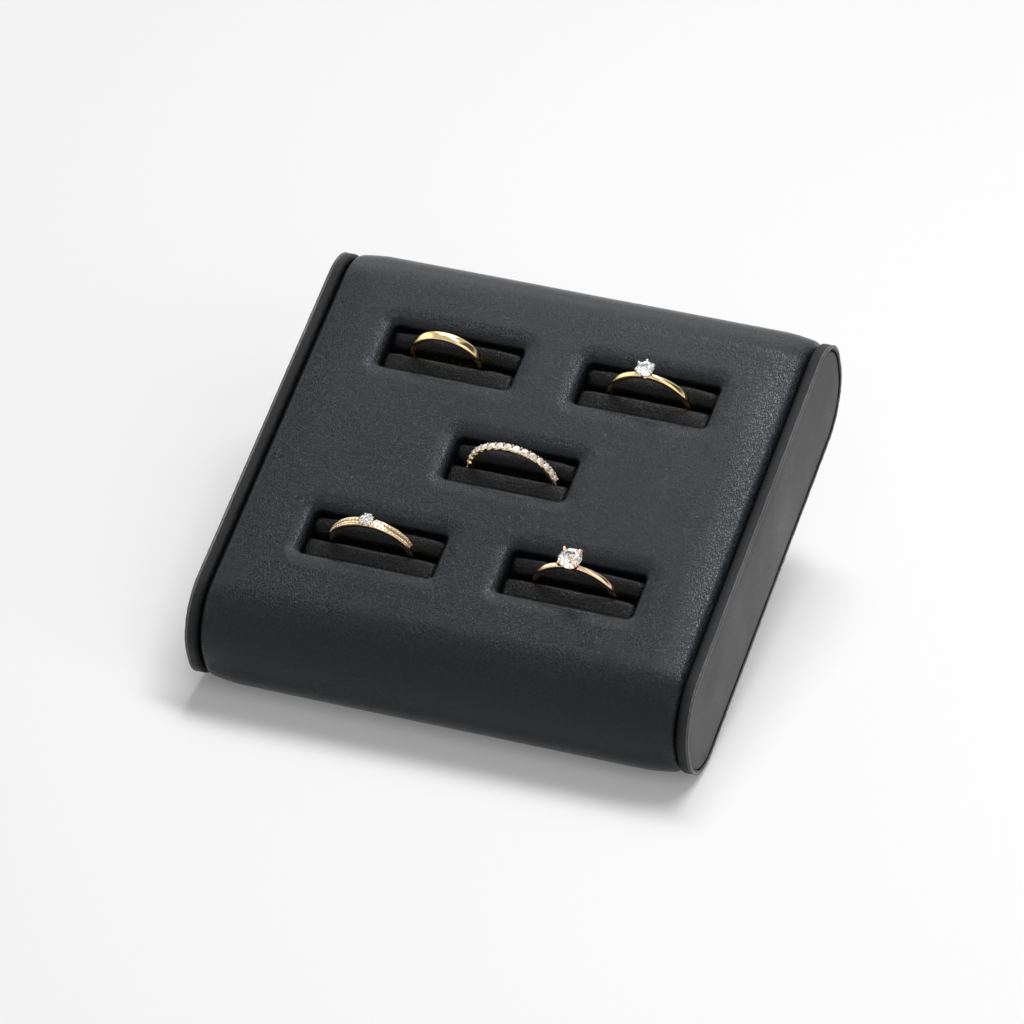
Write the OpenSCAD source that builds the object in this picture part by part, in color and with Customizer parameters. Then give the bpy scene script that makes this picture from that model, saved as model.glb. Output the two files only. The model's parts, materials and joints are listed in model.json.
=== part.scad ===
// Slanted ring display: a padded leather slab on a folding leg, with five ring slots.
// Millimetres. The stand rests on z = 0 with its front towards -y; the middle of its box is at x = y = 0.
// Pieces of the slab are drawn in the slab's own frame (x right, y up the slope, z out of the face)
// and laid on the slope by on_slab().

/* [Slab] */
// Slope of the slab, degrees
slab_tilt = 20; // [14:1:26]
// Width of the covered body, between its end caps
body_w = 116; // [108:1:150]
// Length of the covered body, up the slope
body_len = 120; // [112:1:150]
// Thickness of the covered body
body_t = 30.8; // [29.4:0.2:36]
// Radius of the body's round nose and back
body_r = 14; // [10:0.5:14.5]
// Rounding of the body where it turns in at the end caps
body_end_round = 2; // [1:0.1:2.4]
// Thickness of the leather cover
cover_t = 0.9; // [0.6:0.1:1.2]
// Thickness of the foam padding under the cover
padding_t = 1.6; // [1.3:0.1:2.4]
// Thickness of the top board
top_board_t = 5; // [3:0.5:6]
// Thickness of the bottom board
bottom_board_t = 4; // [3:0.5:5]
// Thickness of the side boards
side_board_t = 6; // [4:0.5:10]
// Width of the base panel under the slab
base_panel_w = 104; // [80:1:104]
// Length of the base panel, up the slope
base_panel_len = 84; // [72:1:84]
// Thickness of the felt lining on the base panel
lining_t = 0.8; // [0.5:0.1:1]
// Corner radius of the base panel
base_panel_r = 6; // [2:1:12]

/* [Ring slots] */
// Width of the four outer slots
slot_w = 32.4; // [29:0.2:34]
// Width of the middle slot
middle_slot_w = 29.6; // [27:0.2:34]
// Height of every slot, up the slope
slot_h = 12.5; // [10:0.1:13.4]
// Corner radius of the slots
slot_r = 1.2; // [0.5:0.1:2]
// Distance of the outer slots from the middle, sideways
slot_pitch_x = 24.2; // [22:0.2:28]
// Distance of the outer slots from the middle, up the slope
slot_pitch_y = 28; // [24:0.2:30]
// How far the rows of slots lie up the slope from the middle
slot_shift_y = 0.7; // [-1:0.1:1.5]
// Rounding of the cover where it dips into a slot
lip_r = 1.6; // [0.8:0.1:2.2]
// Wall and floor thickness of the slot trays
tray_t = 1; // [0.8:0.1:1.6]
// Width of the trays' glued flange
tray_flange_w = 2.5; // [1.5:0.1:3.5]
// How far the foam strips' tops lie under the face
strip_drop = 1.7; // [0.6:0.1:2.4]
// How deep the foam strips reach under the face
strip_depth = 16.5; // [16:0.1:18]
// Slit between the two foam strips of a slot
slit_w = 1.8; // [0.3:0.1:2.2]
// Clearance of the foam strips in their tray
strip_gap = 0.2; // [0.1:0.1:0.4]
// Clearance of a ring in its pocket between the strips
ring_gap = 0.3; // [0.2:0.05:0.5]

/* [End caps] */
// Thickness of an end cap
cap_t = 3; // [2.4:0.1:5]
// How far the covered body stands proud of the caps, all round
cap_inset = 1; // [0.5:0.1:2]
// Thickness of the leather round the caps' edge
wrap_t = 0.9; // [0.6:0.1:1.2]
// Thickness of the face panel in the cap
face_panel_t = 0.9; // [0.6:0.1:1.4]
// How far the face panel lies under the edge wrap's rim
face_panel_drop = 0.2; // [0.1:0.1:0.5]
// Seam between the edge wrap and the face panel
cap_seam = 0.25; // [0.1:0.05:0.5]

/* [Stand] */
// Thickness of the felt strip under the nose, at its thinnest
felt_t = 0.6; // [0.4:0.1:1.5]
// Width of the felt strip, front to back
felt_w = 8; // [5:0.5:10]
// Length of the felt strip
felt_len = 90; // [60:1:100]
// Place of the leg's hinge, up the slope from the slab's middle
hinge_y = 36; // [30:0.5:37]
// Width of the folding leg
leg_w = 70; // [58:1:90]
// Thickness of the leg, with its leather
leg_t = 4.5; // [4:0.1:6]
// Thickness of the leg's leather sleeve
leg_cover_t = 0.75; // [0.5:0.05:1]
// Backward lean of the opened leg, degrees
leg_lean = 8; // [4:1:12]
// Thickness of the leg's rubber foot
foot_t = 1.5; // [1:0.1:3]
// Gap between the opened leg and the underside that stops it
stop_gap = 0.2; // [0.1:0.05:0.4]

/* [Hinge] */
// Length of the hinge
hinge_w = 50; // [42:1:56]
// Outer radius of the hinge's knuckles
knuckle_r = 1.6; // [1.5:0.1:2.2]
// Radius of the hinge pin
pin_r = 0.8; // [0.6:0.05:0.9]
// Running clearance of the pin in the knuckles
pin_gap = 0.05; // [0.02:0.01:0.08]
// Gap between neighbouring knuckles
knuckle_gap = 0.2; // [0.1:0.05:0.4]
// Gap between the knuckles and the faces beside them
knuckle_clear = 0.1; // [0.05:0.05:0.3]
// Thickness of the hinge's leaves
leaf_t = 0.8; // [0.6:0.1:1]
// Length of each leaf, from the pin
leaf_len = 11; // [9:0.5:14]
// Distance of the outer screws from the hinge's middle
screw_outer_x = 18; // [14:0.5:19]
// Distance of the inner screws from the hinge's middle
screw_inner_x = 7; // [4:0.5:10]
// Shank radius of the hinge screws
screw_r = 0.75; // [0.5:0.05:0.9]
// Head radius of the hinge screws
screw_head_r = 1.5; // [1.2:0.1:1.8]
// Depth of the countersunk heads
screw_head_h = 0.7; // [0.4:0.1:0.8]
// Grip of the screws in a board
screw_grip = 2.4; // [1.5:0.1:2.6]

/* [Shanks] */
// Radius of the crowned outside of the plain shanks
shank_crown = 1.7; // [1.4:0.1:4]
// Radius of the crowned outside of the stone-set bands
set_crown = 10; // [4:1:20]

/* [Plain band] */
// Outer radius
plain_r = 9.2; // [8.6:0.1:10.4]
// Width along the finger
plain_w = 2.3; // [1.6:0.1:3]
// Thickness
plain_t = 1.3; // [1:0.1:1.6]
// Radius of the crowned outside
plain_crown = 1.9; // [1.6:0.1:4]
// How far it stands out of the face
plain_rise = 6.7; // [6:0.1:8.5]
// Its place in the slot, sideways
plain_shift = -1.1; // [-1.5:0.1:1.5]

/* [Six-claw solitaire] */
// Outer radius of the shank
solitaire_r = 10.6; // [9.5:0.1:11]
// Width of the shank
solitaire_w = 1.8; // [1.4:0.1:2.6]
// Thickness of the shank
solitaire_t = 1.4; // [1:0.1:1.7]
// How far the shank stands out of the face
solitaire_rise = 6.7; // [6:0.1:8.5]
// Its place in the slot, sideways
solitaire_shift = 0.6; // [-1.5:0.1:1.5]
// Radius of the stone
solitaire_stone_r = 2.1; // [1.6:0.1:2.6]
// Height of the stone's girdle above the shank
solitaire_seat = 2.1; // [1.9:0.1:3]
// Radius of the claws
solitaire_claw_r = 0.26; // [0.2:0.02:0.34]
// Radius of the head's foot on the shank
solitaire_foot_r = 0.8; // [0.6:0.1:0.9]

/* [Half-eternity band] */
// Outer radius of the band under the stones
eternity_r = 10.6; // [10:0.1:11]
// Width of the band
eternity_w = 2.2; // [2.1:0.1:2.6]
// Thickness of the band
eternity_t = 1.1; // [0.9:0.1:1.6]
// How far the band stands out of the face
eternity_rise = 6.9; // [6.4:0.1:8.6]
// Its place in the slot, sideways
eternity_shift = 0.2; // [-1:0.1:1]
// Stones in the row
eternity_count = 15; // [9:2:15]
// Radius of each stone
eternity_stone_r = 0.95; // [0.7:0.05:0.95]
// Depth of the stones' seats in the band
eternity_seat = 0.5; // [0.3:0.1:0.6]
// Height that the stones stand out of the band
eternity_stone_h = 0.55; // [0.3:0.05:0.8]
// Angle between neighbouring stones, degrees
eternity_step = 11.4; // [11.2:0.1:12]

/* [Shoulder-set ring] */
// Outer radius of the shank
shoulder_r = 10.6; // [10:0.1:11]
// Width of the shank
shoulder_w = 2; // [1.8:0.1:2.4]
// Thickness of the shank
shoulder_t = 1.4; // [1:0.1:1.7]
// How far the shank stands out of the face
shoulder_rise = 6.9; // [6.4:0.1:8.6]
// Its place in the slot, sideways
shoulder_shift = -0.4; // [-1.5:0.1:1.5]
// Stones in each row of a shoulder
shoulder_count = 12; // [6:1:13]
// Radius of the shoulder stones
shoulder_stone_r = 0.36; // [0.25:0.01:0.38]
// Angle from the head to the first shoulder stones, degrees
shoulder_start = 13; // [12:0.5:16]
// Angle between neighbouring shoulder stones, degrees
shoulder_step = 4.6; // [4.4:0.1:5]
// Height that the shoulder stones stand out of the shank
shoulder_stone_h = 0.2; // [0.1:0.05:0.3]
// Radius of each stone in the centre cluster
cluster_stone_r = 0.57; // [0.5:0.01:0.62]
// Height of the centre cluster's stones
cluster_stone_h = 0.5; // [0.3:0.05:0.7]
// Height of the cluster's plate above the shank
cluster_seat = 0.8; // [0.7:0.1:1.4]
// Radius of the head's foot on the shank
cluster_foot_r = 1; // [0.8:0.1:1]
// Radius of the cluster's claws
cluster_claw_r = 0.2; // [0.14:0.02:0.24]

/* [Four-claw solitaire] */
// Outer radius of the shank
claw_r = 10.8; // [10:0.1:11]
// Width of the shank
claw_w = 1.9; // [1.5:0.1:2.6]
// Thickness of the shank
claw_t = 1.5; // [1.1:0.1:1.7]
// How far the shank stands out of the face
claw_rise = 6.1; // [5.8:0.1:8.5]
// Its place in the slot, sideways
claw_shift = 0.7; // [-1.5:0.1:1.5]
// Radius of the stone
claw_stone_r = 2.8; // [2.2:0.1:3.2]
// Height of the stone's girdle above the shank
claw_seat = 2.6; // [2.4:0.1:3.4]
// Radius of the claws
claw_wire_r = 0.38; // [0.3:0.02:0.5]
// Radius of the head's foot on the shank
claw_foot_r = 1.1; // [0.8:0.1:1.1]

/* [Hidden] */
$fn = 64;

// Glue line between pieces that are nested in one another
glue = 0.05;
// Clearance of a stone or a head on its seat
snug = 0.01;
// Thickness of the slices that a rounded lip is stretched over
slice = 0.01;
// Least rounding of the padded body's inner layers
least_round = 0.2;
// Overshoot of a cut past the faces that it goes through
past = 1;

// Levels in the slab's frame, measured out of the face
face = body_t / 2;
core_inset = cover_t + padding_t;
core_top = face - core_inset;
core_bottom = -core_top;
core_len = body_len - 2 * core_inset;
core_r = body_r - core_inset;
board_under = core_top - top_board_t;
board_over = core_bottom + bottom_board_t;
strip_top = face - strip_drop;
strip_bottom = face - strip_depth;

// Centres of the body's round corners
corner_y = body_len / 2 - body_r;
corner_z = body_t / 2 - body_r;

// Height of the slab's middle above the table, and the line where its nose comes lowest
nose_drop = corner_y * sin(slab_tilt) + corner_z * cos(slab_tilt) + body_r;
slab_z = nose_drop + felt_t;
nose_y = -corner_y * cos(slab_tilt) + corner_z * sin(slab_tilt);
nose_z = felt_t + body_r;

// Slots: back left, back right, middle, front left, front right
SLOT_X = [-slot_pitch_x, slot_pitch_x, 0, -slot_pitch_x, slot_pitch_x];
SLOT_Y = [for (row = [1, 1, 0, -1, -1]) row * slot_pitch_y + slot_shift_y];
SLOT_W = [slot_w, slot_w, middle_slot_w, slot_w, slot_w];
SLOTS = [0 : 4];
strip_w = (slot_h - slit_w) / 2 - strip_gap;

// Rings, one to a slot
RING_R = [plain_r, solitaire_r, eternity_r, shoulder_r, claw_r];
RING_W = [plain_w, solitaire_w, eternity_w, shoulder_w, claw_w];
RING_RISE = [plain_rise, solitaire_rise, eternity_rise, shoulder_rise, claw_rise];
RING_SHIFT = [plain_shift, solitaire_shift, eternity_shift, shoulder_shift, claw_shift];
// Height that set stones add to a band, which its pocket leaves free
RING_STONE_H = [0, 0, eternity_stone_h, 0, 0];

// Layers of an end cap, from the body outwards
cap_x = body_w / 2;
cap_len = body_len - 2 * cap_inset;
cap_h = body_t - 2 * cap_inset;
cap_r = body_r - cap_inset;
face_panel_x = cap_x + cap_t - face_panel_drop - face_panel_t;

// The leg's hinge, as a point of the stand's own frame
base_z = -face;
hinge_drop = face + knuckle_r + knuckle_clear;
hinge_at = [
    0,
    hinge_y * cos(slab_tilt) + hinge_drop * sin(slab_tilt),
    slab_z + hinge_y * sin(slab_tilt) - hinge_drop * cos(slab_tilt)
];
leg_front = knuckle_r + knuckle_clear;
leaf_start = knuckle_r + knuckle_gap;
KNUCKLES = 5;
knuckle_pitch = hinge_w / KNUCKLES;
// Screws along the hinge, and from the pin along a leaf
screw_x = [-screw_outer_x, -screw_inner_x, screw_inner_x, screw_outer_x];
screw_y = (leaf_start + leaf_len) / 2;

// ---- Shared forms ----

// Lays its children on the slope
module on_slab()
    translate([0, 0, slab_z]) rotate([slab_tilt, 0, 0]) children();

// Side outline of the slab at any depth: a rectangle with round corners
module outline(len, high, r) {
    square([len - 2 * r, high], center = true);
    square([len, high - 2 * r], center = true);
    for (sy = [-1, 1], sz = [-1, 1])
        translate([sy * (len / 2 - r), sz * (high / 2 - r)]) circle(r);
}

// Turns an outline drawn in y and z into a prism from x0 to x1
module along_x(x0, x1)
    translate([x0, 0, 0]) rotate([90, 0, 90]) linear_extrude(x1 - x0) children();

// A block between two corners
module block(low, high)
    translate(low) cube(high - low);

// Plate outline with round corners
module round_rect(w, h, r) {
    square([w - 2 * r, h], center = true);
    square([w, h - 2 * r], center = true);
    for (sx = [-1, 1], sy = [-1, 1])
        translate([sx * (w / 2 - r), sy * (h / 2 - r)]) circle(r, $fn = 32);
}

// One of the four round rods that the padded body is stretched over
module corner_rod(inset) {
    r = body_r - inset;
    half = body_w / 2 - inset;
    round_end = max(body_end_round - inset, least_round);
    rotate([0, 90, 0]) rotate_extrude($fn = 40) polygon(concat(
        [[0, -half], [0, half]],
        [for (a = [90 : -22.5 : 0])
            [r - round_end + round_end * cos(a), half - round_end + round_end * sin(a)]],
        [for (a = [0 : -22.5 : -90])
            [r - round_end + round_end * cos(a), -half + round_end + round_end * sin(a)]]
    ));
}

// The padded body, shrunk by inset on every side
module padded_form(inset)
    hull() for (sy = [-1, 1], sz = [-1, 1])
        translate([0, sy * corner_y, sz * corner_z]) corner_rod(inset);

// The boards and rails together, with a clearance round them
module core_form(gap = 0)
    along_x(-body_w, body_w)
        outline(core_len + 2 * gap, body_t - 2 * core_inset + 2 * gap, core_r + gap);

// Outline of slot i, widened by more on every side
module slot_outline(i, more = 0)
    round_rect(SLOT_W[i] + 2 * more, slot_h + 2 * more, slot_r + more);

// Column of slot i between two levels
module slot_column(i, z0, z1, more = 0)
    translate([SLOT_X[i], SLOT_Y[i], z0]) linear_extrude(z1 - z0) slot_outline(i, more);

// The soft lip of slot i, as the shape that is cut away from the face
module slot_lip(i) {
    step = 30;
    for (a = [0 : step : 90 - step]) hull() for (b = [a, a + step])
        translate([0, 0, face - lip_r * (1 - cos(b)) - slice / 2])
            slot_column(i, 0, slice, lip_r * (1 - sin(b)));
    slot_column(i, face, face + past, lip_r);
}

// The window under the slab that the base panel fills
module base_window(gap = 0)
    translate([0, 0, base_z - past]) linear_extrude(core_inset + past)
        round_rect(base_panel_w + 2 * gap, base_panel_len + 2 * gap, base_panel_r + gap);

// Lays its children round the middle of ring i, with the ring's plane in x and z
module at_ring(i)
    on_slab() translate([SLOT_X[i] + RING_SHIFT[i], SLOT_Y[i], face + RING_RISE[i] - RING_R[i]])
        children();

// A band of crowned section
module band(r, w, t, crown)
    rotate([90, 0, 0]) rotate_extrude($fn = 96) intersection() {
        translate([r - crown, 0]) circle(crown);
        translate([r - t, -w / 2]) square([t, w]);
    }

// The room that ring i takes up as it lies in its slot and lifts out
module ring_room(i) {
    r = RING_R[i] + RING_STONE_H[i] + ring_gap;
    w = RING_W[i] + 2 * ring_gap;
    centre = [SLOT_X[i] + RING_SHIFT[i], SLOT_Y[i], face + RING_RISE[i] - RING_R[i]];
    translate(centre) {
        rotate([90, 0, 0]) cylinder(r = r, h = w, center = true, $fn = 96);
        translate([0, 0, r / 2]) cube([2 * r, w, r], center = true);
    }
}

// A round stone with its girdle at z = 0: table, crown, girdle and point
module round_stone(r) {
    girdle = 0.06 * r;
    translate([0, 0, girdle]) cylinder(r1 = r, r2 = 0.58 * r, h = 0.32 * r);
    cylinder(r = r, h = girdle);
    translate([0, 0, -0.84 * r]) cylinder(r1 = 0.03 * r, r2 = r, h = 0.84 * r);
}

// A straight claw from one point to another
module claw(from, to, r) {
    d = to - from;
    length = norm(d);
    translate(from) rotate([0, acos(d[2] / length), atan2(d[1], d[0])]) cylinder(r = r, h = length);
}

// ---- Slab ----

module leather_cover() color([0.10, 0.10, 0.11]) on_slab() difference() {
    union() {
        difference() {
            padded_form(0);
            padded_form(cover_t);
        }
        for (i = SLOTS) slot_column(i, board_under, face, cover_t);
        intersection() {
            padded_form(0);
            for (i = SLOTS) slot_column(i, core_top, face, lip_r + cover_t);
        }
    }
    difference() {
        core_form(glue);
        for (i = SLOTS) slot_column(i, board_under, core_top + 2 * glue, cover_t);
    }
    for (i = SLOTS) {
        slot_column(i, board_under - past, face + past);
        slot_lip(i);
    }
    base_window(glue);
}

module foam_padding() color([0.30, 0.30, 0.31]) on_slab() difference() {
    padded_form(cover_t + glue);
    core_form(glue);
    for (i = SLOTS) slot_column(i, core_top - past, face, lip_r + cover_t + glue);
    base_window(glue);
}

module top_board() color([0.72, 0.60, 0.44]) on_slab() difference() {
    block([-body_w / 2, -corner_y, board_under], [body_w / 2, corner_y, core_top]);
    for (i = SLOTS) slot_column(i, board_under - past, core_top + past, cover_t + glue);
}

module bottom_board() color([0.70, 0.58, 0.42]) on_slab() difference() {
    block([-body_w / 2, -corner_y, core_bottom], [body_w / 2, corner_y, board_over]);
    slab_screws() cylinder(r = screw_r + glue, h = screw_length(core_inset) + glue);
}

// A rounded rail along the nose (side = -1) or the back (side = 1)
module rail(side) color([0.66, 0.54, 0.40]) on_slab() along_x(-body_w / 2, body_w / 2)
    intersection() {
        outline(core_len, body_t - 2 * core_inset, core_r);
        translate([side * (corner_y + core_r), 0]) square([2 * core_r, body_t], center = true);
    }

module side_board(side) color([0.68, 0.56, 0.41]) on_slab()
    translate([side * (body_w - side_board_t) / 2, 0, (board_under + board_over) / 2])
        cube([side_board_t, 2 * corner_y, board_under - board_over], center = true);

module base_panel() color([0.35, 0.33, 0.31]) on_slab() difference() {
    translate([0, 0, base_z + lining_t]) linear_extrude(core_inset - lining_t)
        round_rect(base_panel_w, base_panel_len, base_panel_r);
    slab_screws() cylinder(r = screw_r + glue, h = screw_length(core_inset) + glue);
}

module base_lining() color([0.08, 0.08, 0.09]) on_slab() difference() {
    translate([0, 0, base_z]) linear_extrude(lining_t)
        round_rect(base_panel_w, base_panel_len, base_panel_r);
    slab_screws() cylinder(r = screw_r + glue, h = screw_length(core_inset) + glue);
}

// ---- Slots ----

// A card tray with a flange, glued under the top board
module slot_tray(i) color([0.07, 0.07, 0.08]) on_slab() difference() {
    union() {
        slot_column(i, strip_bottom - tray_t, board_under, tray_t);
        slot_column(i, board_under - tray_t, board_under, tray_t + tray_flange_w);
    }
    slot_column(i, strip_bottom, board_under + past);
}

// A foam strip with a round top, on the back (side = 1) or front (side = -1) of slot i
module foam_strip(i, side) color([0.09, 0.09, 0.10]) on_slab() difference() {
    intersection() {
        translate([SLOT_X[i], SLOT_Y[i] + side * (slit_w + strip_w) / 2, 0])
            along_x(-SLOT_W[i] / 2, SLOT_W[i] / 2) {
                translate([0, strip_top - strip_w / 2]) circle(strip_w / 2);
                translate([-strip_w / 2, strip_bottom])
                    square([strip_w, strip_top - strip_w / 2 - strip_bottom]);
            }
        slot_column(i, strip_bottom, strip_top, -strip_gap);
    }
    ring_room(i);
}

// ---- End caps ----

module end_board(side) color([0.66, 0.54, 0.40]) on_slab() mirror([side < 0 ? 1 : 0, 0, 0])
    along_x(cap_x, face_panel_x)
        outline(cap_len - 2 * wrap_t, cap_h - 2 * wrap_t, cap_r - wrap_t);

module end_wrap(side) color([0.11, 0.11, 0.12]) on_slab() mirror([side < 0 ? 1 : 0, 0, 0])
    along_x(cap_x, cap_x + cap_t) difference() {
        outline(cap_len, cap_h, cap_r);
        outline(cap_len - 2 * wrap_t, cap_h - 2 * wrap_t, cap_r - wrap_t);
    }

module end_panel(side) color([0.14, 0.14, 0.15]) on_slab() mirror([side < 0 ? 1 : 0, 0, 0])
    along_x(face_panel_x, face_panel_x + face_panel_t) {
        inset = wrap_t + cap_seam;
        outline(cap_len - 2 * inset, cap_h - 2 * inset, cap_r - inset);
    }

// ---- Stand ----

module front_felt() color([0.06, 0.06, 0.07]) difference() {
    block([-felt_len / 2, nose_y - felt_w / 2, 0],
          [felt_len / 2, nose_y + felt_w / 2, nose_z - sqrt(pow(body_r, 2) - pow(felt_w / 2, 2))]);
    translate([-felt_len, nose_y, nose_z]) rotate([0, 90, 0])
        cylinder(r = body_r, h = 2 * felt_len, $fn = 360);
}

// Lays its children along the opened leg: z runs up it from the pin, y backwards from its front
module on_leg()
    translate(hinge_at) rotate([leg_lean, 0, 0]) children();

// Side outline of the leg between two depths, from the underside's stop down to a floor level
module leg_outline(front, back, floor_z) {
    slope = slab_tilt - leg_lean;
    reach = knuckle_r + knuckle_clear - stop_gap;
    top = function(b) (reach + b * sin(slope)) / cos(slope);
    foot = function(b) -(hinge_at[2] + b * sin(leg_lean) - floor_z) / cos(leg_lean);
    polygon([[front, foot(front)], [back, foot(back)], [back, top(back)], [front, top(front)]]);
}

module leg_prism(inset, floor_z)
    along_x(-leg_w / 2 + inset, leg_w / 2 - inset)
        leg_outline(leg_front + inset, leg_front + leg_t - inset, floor_z);

module leg_board() color([0.68, 0.56, 0.41]) on_leg() difference() {
    leg_prism(leg_cover_t, foot_t);
    leg_screw_places() cylinder(r = screw_r + glue, h = screw_length(leg_cover_t) + glue);
}

module leg_sleeve() color([0.10, 0.10, 0.11]) on_leg() difference() {
    leg_prism(0, foot_t);
    along_x(-leg_w / 2 + leg_cover_t, leg_w / 2 - leg_cover_t)
        translate([leg_front + leg_cover_t, -2 * hinge_at[2]])
            square([leg_t - 2 * leg_cover_t, 4 * hinge_at[2]]);
    leg_screw_places() cylinder(r = screw_r + glue, h = screw_length(leg_cover_t) + glue);
}

module leg_foot() color([0.05, 0.05, 0.05]) difference() {
    on_leg() leg_prism(0, 0);
    block([-leg_w, -body_len, foot_t], [leg_w, body_len, body_len]);
}

// ---- Hinge: the pin lies along x, a leaf runs along -y with its face at z = leg_front ----

// Length of a countersunk screw that passes cover and lining into a board
function screw_length(under) = leaf_t + under + screw_grip;

// One leaf; the fixed leaf has the odd knuckles, the moving leaf the even ones
module leaf(odd) difference() {
    union() {
        block([-hinge_w / 2, -leaf_len, leg_front - leaf_t], [hinge_w / 2, -leaf_start, leg_front]);
        for (k = [0 : KNUCKLES - 1]) if ((k % 2 == 0) == odd) {
            x0 = -hinge_w / 2 + k * knuckle_pitch + knuckle_gap / 2;
            x1 = x0 + knuckle_pitch - knuckle_gap;
            translate([x0, 0, 0]) rotate([0, 90, 0]) cylinder(r = knuckle_r, h = x1 - x0);
            block([x0, -leaf_start - leaf_t, leg_front - leaf_t], [x1, 0, knuckle_r]);
        }
    }
    translate([-hinge_w, 0, 0]) rotate([0, 90, 0]) cylinder(r = pin_r + pin_gap, h = 2 * hinge_w);
    at_screws() {
        cylinder(r = screw_r + glue, h = 2 * leaf_t);
        cylinder(r1 = screw_head_r + glue, r2 = screw_r + glue, h = screw_head_h);
    }
}

// Places of a leaf's screws, pointing from its open face into the board
module at_screws()
    for (x = screw_x) translate([x, -screw_y, leg_front - leaf_t]) children();

// Countersunk screws of a given length, in their places
module screws(length) color([0.55, 0.55, 0.57]) at_screws() {
    cylinder(r1 = screw_head_r, r2 = screw_r, h = screw_head_h);
    cylinder(r = screw_r, h = length);
}

// From the slab's frame to the fixed leaf's, and from the leg's to the moving leaf's
module at_fixed_leaf()
    translate([0, hinge_y, -hinge_drop]) children();
module at_moving_leaf()
    rotate([90, 0, 0]) mirror([0, 0, 1]) children();
module slab_screws() at_fixed_leaf() at_screws() children();
module leg_screw_places() at_moving_leaf() at_screws() children();

module hinge_fixed_leaf() color([0.60, 0.60, 0.62]) on_slab() at_fixed_leaf() leaf(true);
module hinge_moving_leaf() color([0.62, 0.62, 0.64]) on_leg() at_moving_leaf() leaf(false);
module hinge_pin() color([0.50, 0.50, 0.52]) on_slab() at_fixed_leaf()
    translate([-hinge_w / 2, 0, 0]) rotate([0, 90, 0]) cylinder(r = pin_r, h = hinge_w);
module hinge_screws() on_slab() at_fixed_leaf() screws(screw_length(core_inset));
module leg_screws() on_leg() at_moving_leaf() screws(screw_length(leg_cover_t));

// ---- Rings ----

module plain_band() color([0.93, 0.74, 0.42]) at_ring(0)
    band(plain_r, plain_w, plain_t, plain_crown);

// The plain shank of ring i
module shank(i, t) at_ring(i) band(RING_R[i], RING_W[i], t, shank_crown);

// Lays its children on top of ring i, z outwards, with the shank cut off them
module on_top_of(i) at_ring(i) difference() {
    translate([0, 0, RING_R[i]]) children();
    rotate([90, 0, 0])
        cylinder(r = RING_R[i] + snug, h = 4 * RING_W[i], center = true, $fn = 96);
}

// A claw setting: a foot on the shank, and claws that lean out round the stone's girdle
module claw_setting(stone_r, seat, count, claw_thick, foot_r, turn) difference() {
    inner_r = 0.8 * foot_r;
    girdle_r = stone_r + claw_thick + snug;
    tip_z = seat + 0.28 * stone_r;
    foot_top = seat / 5;
    union() {
        translate([0, 0, -foot_top]) cylinder(r1 = inner_r, r2 = foot_r, h = 2 * foot_top);
        for (k = [0 : count - 1]) rotate([0, 0, turn + k * 360 / count]) {
            claw([inner_r, 0, 0], [girdle_r, 0, tip_z], claw_thick);
            translate([girdle_r, 0, tip_z]) sphere(1.1 * claw_thick, $fn = 24);
        }
    }
    translate([0, 0, seat]) scale(1 + snug) round_stone(stone_r);
}

module solitaire_shank() color([0.93, 0.76, 0.45]) shank(1, solitaire_t);
module solitaire_head() color([0.90, 0.90, 0.90]) on_top_of(1)
    claw_setting(solitaire_stone_r, solitaire_seat, 6, solitaire_claw_r, solitaire_foot_r, 90);
module solitaire_stone() color([0.95, 0.97, 1.0]) at_ring(1)
    translate([0, 0, solitaire_r + solitaire_seat]) round_stone(solitaire_stone_r);

// Places of the half-eternity band's stones, z outwards
module at_eternity_stones()
    for (k = [0 : eternity_count - 1]) rotate([0, (k - (eternity_count - 1) / 2) * eternity_step, 0])
        translate([0, 0, eternity_r]) children();

module eternity_band() color([0.93, 0.76, 0.47]) at_ring(2) difference() {
    band(eternity_r, eternity_w, eternity_t, set_crown);
    at_eternity_stones() translate([0, 0, -eternity_seat])
        cylinder(r = eternity_stone_r + snug, h = eternity_seat + past, $fn = 24);
}
module eternity_stones() color([0.95, 0.97, 1.0]) at_ring(2) at_eternity_stones() {
    crown_h = eternity_stone_h / 2;
    translate([0, 0, -eternity_seat])
        cylinder(r = eternity_stone_r, h = eternity_seat + crown_h, $fn = 24);
    translate([0, 0, crown_h])
        cylinder(r1 = eternity_stone_r, r2 = 0.6 * eternity_stone_r, h = crown_h, $fn = 24);
}

// Places of the small stones on both shoulders, in two staggered rows
module at_shoulder_stones()
    for (s = [-1, 1], row = [-1, 1], k = [0 : shoulder_count - 1])
        rotate([0, s * (shoulder_start + (k + row / 4) * shoulder_step), 0])
            translate([0, row * shoulder_w / 4, shoulder_r]) children();

module shoulder_shank() color([0.90, 0.72, 0.47]) at_ring(3)
    band(shoulder_r, shoulder_w, shoulder_t, set_crown);
module shoulder_head() color([0.90, 0.90, 0.91]) on_top_of(3) {
    plate_r = 3 * cluster_stone_r;
    claw_out = plate_r + cluster_claw_r + snug;
    cylinder(r1 = cluster_foot_r, r2 = plate_r, h = cluster_seat);
    for (k = [0 : 5]) rotate([0, 0, 60 * k])
        claw([plate_r - cluster_claw_r, 0, 0], [claw_out, 0, cluster_seat + cluster_stone_h],
             cluster_claw_r);
}
module shoulder_centre() color([0.95, 0.97, 1.0]) at_ring(3)
    translate([0, 0, shoulder_r + cluster_seat]) {
        cylinder(r = cluster_stone_r, h = cluster_stone_h, $fn = 24);
        for (k = [0 : 5]) rotate([0, 0, 60 * k + 30])
            translate([2 * cluster_stone_r + snug, 0, 0])
                cylinder(r = cluster_stone_r, h = 0.8 * cluster_stone_h, $fn = 24);
    }
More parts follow.
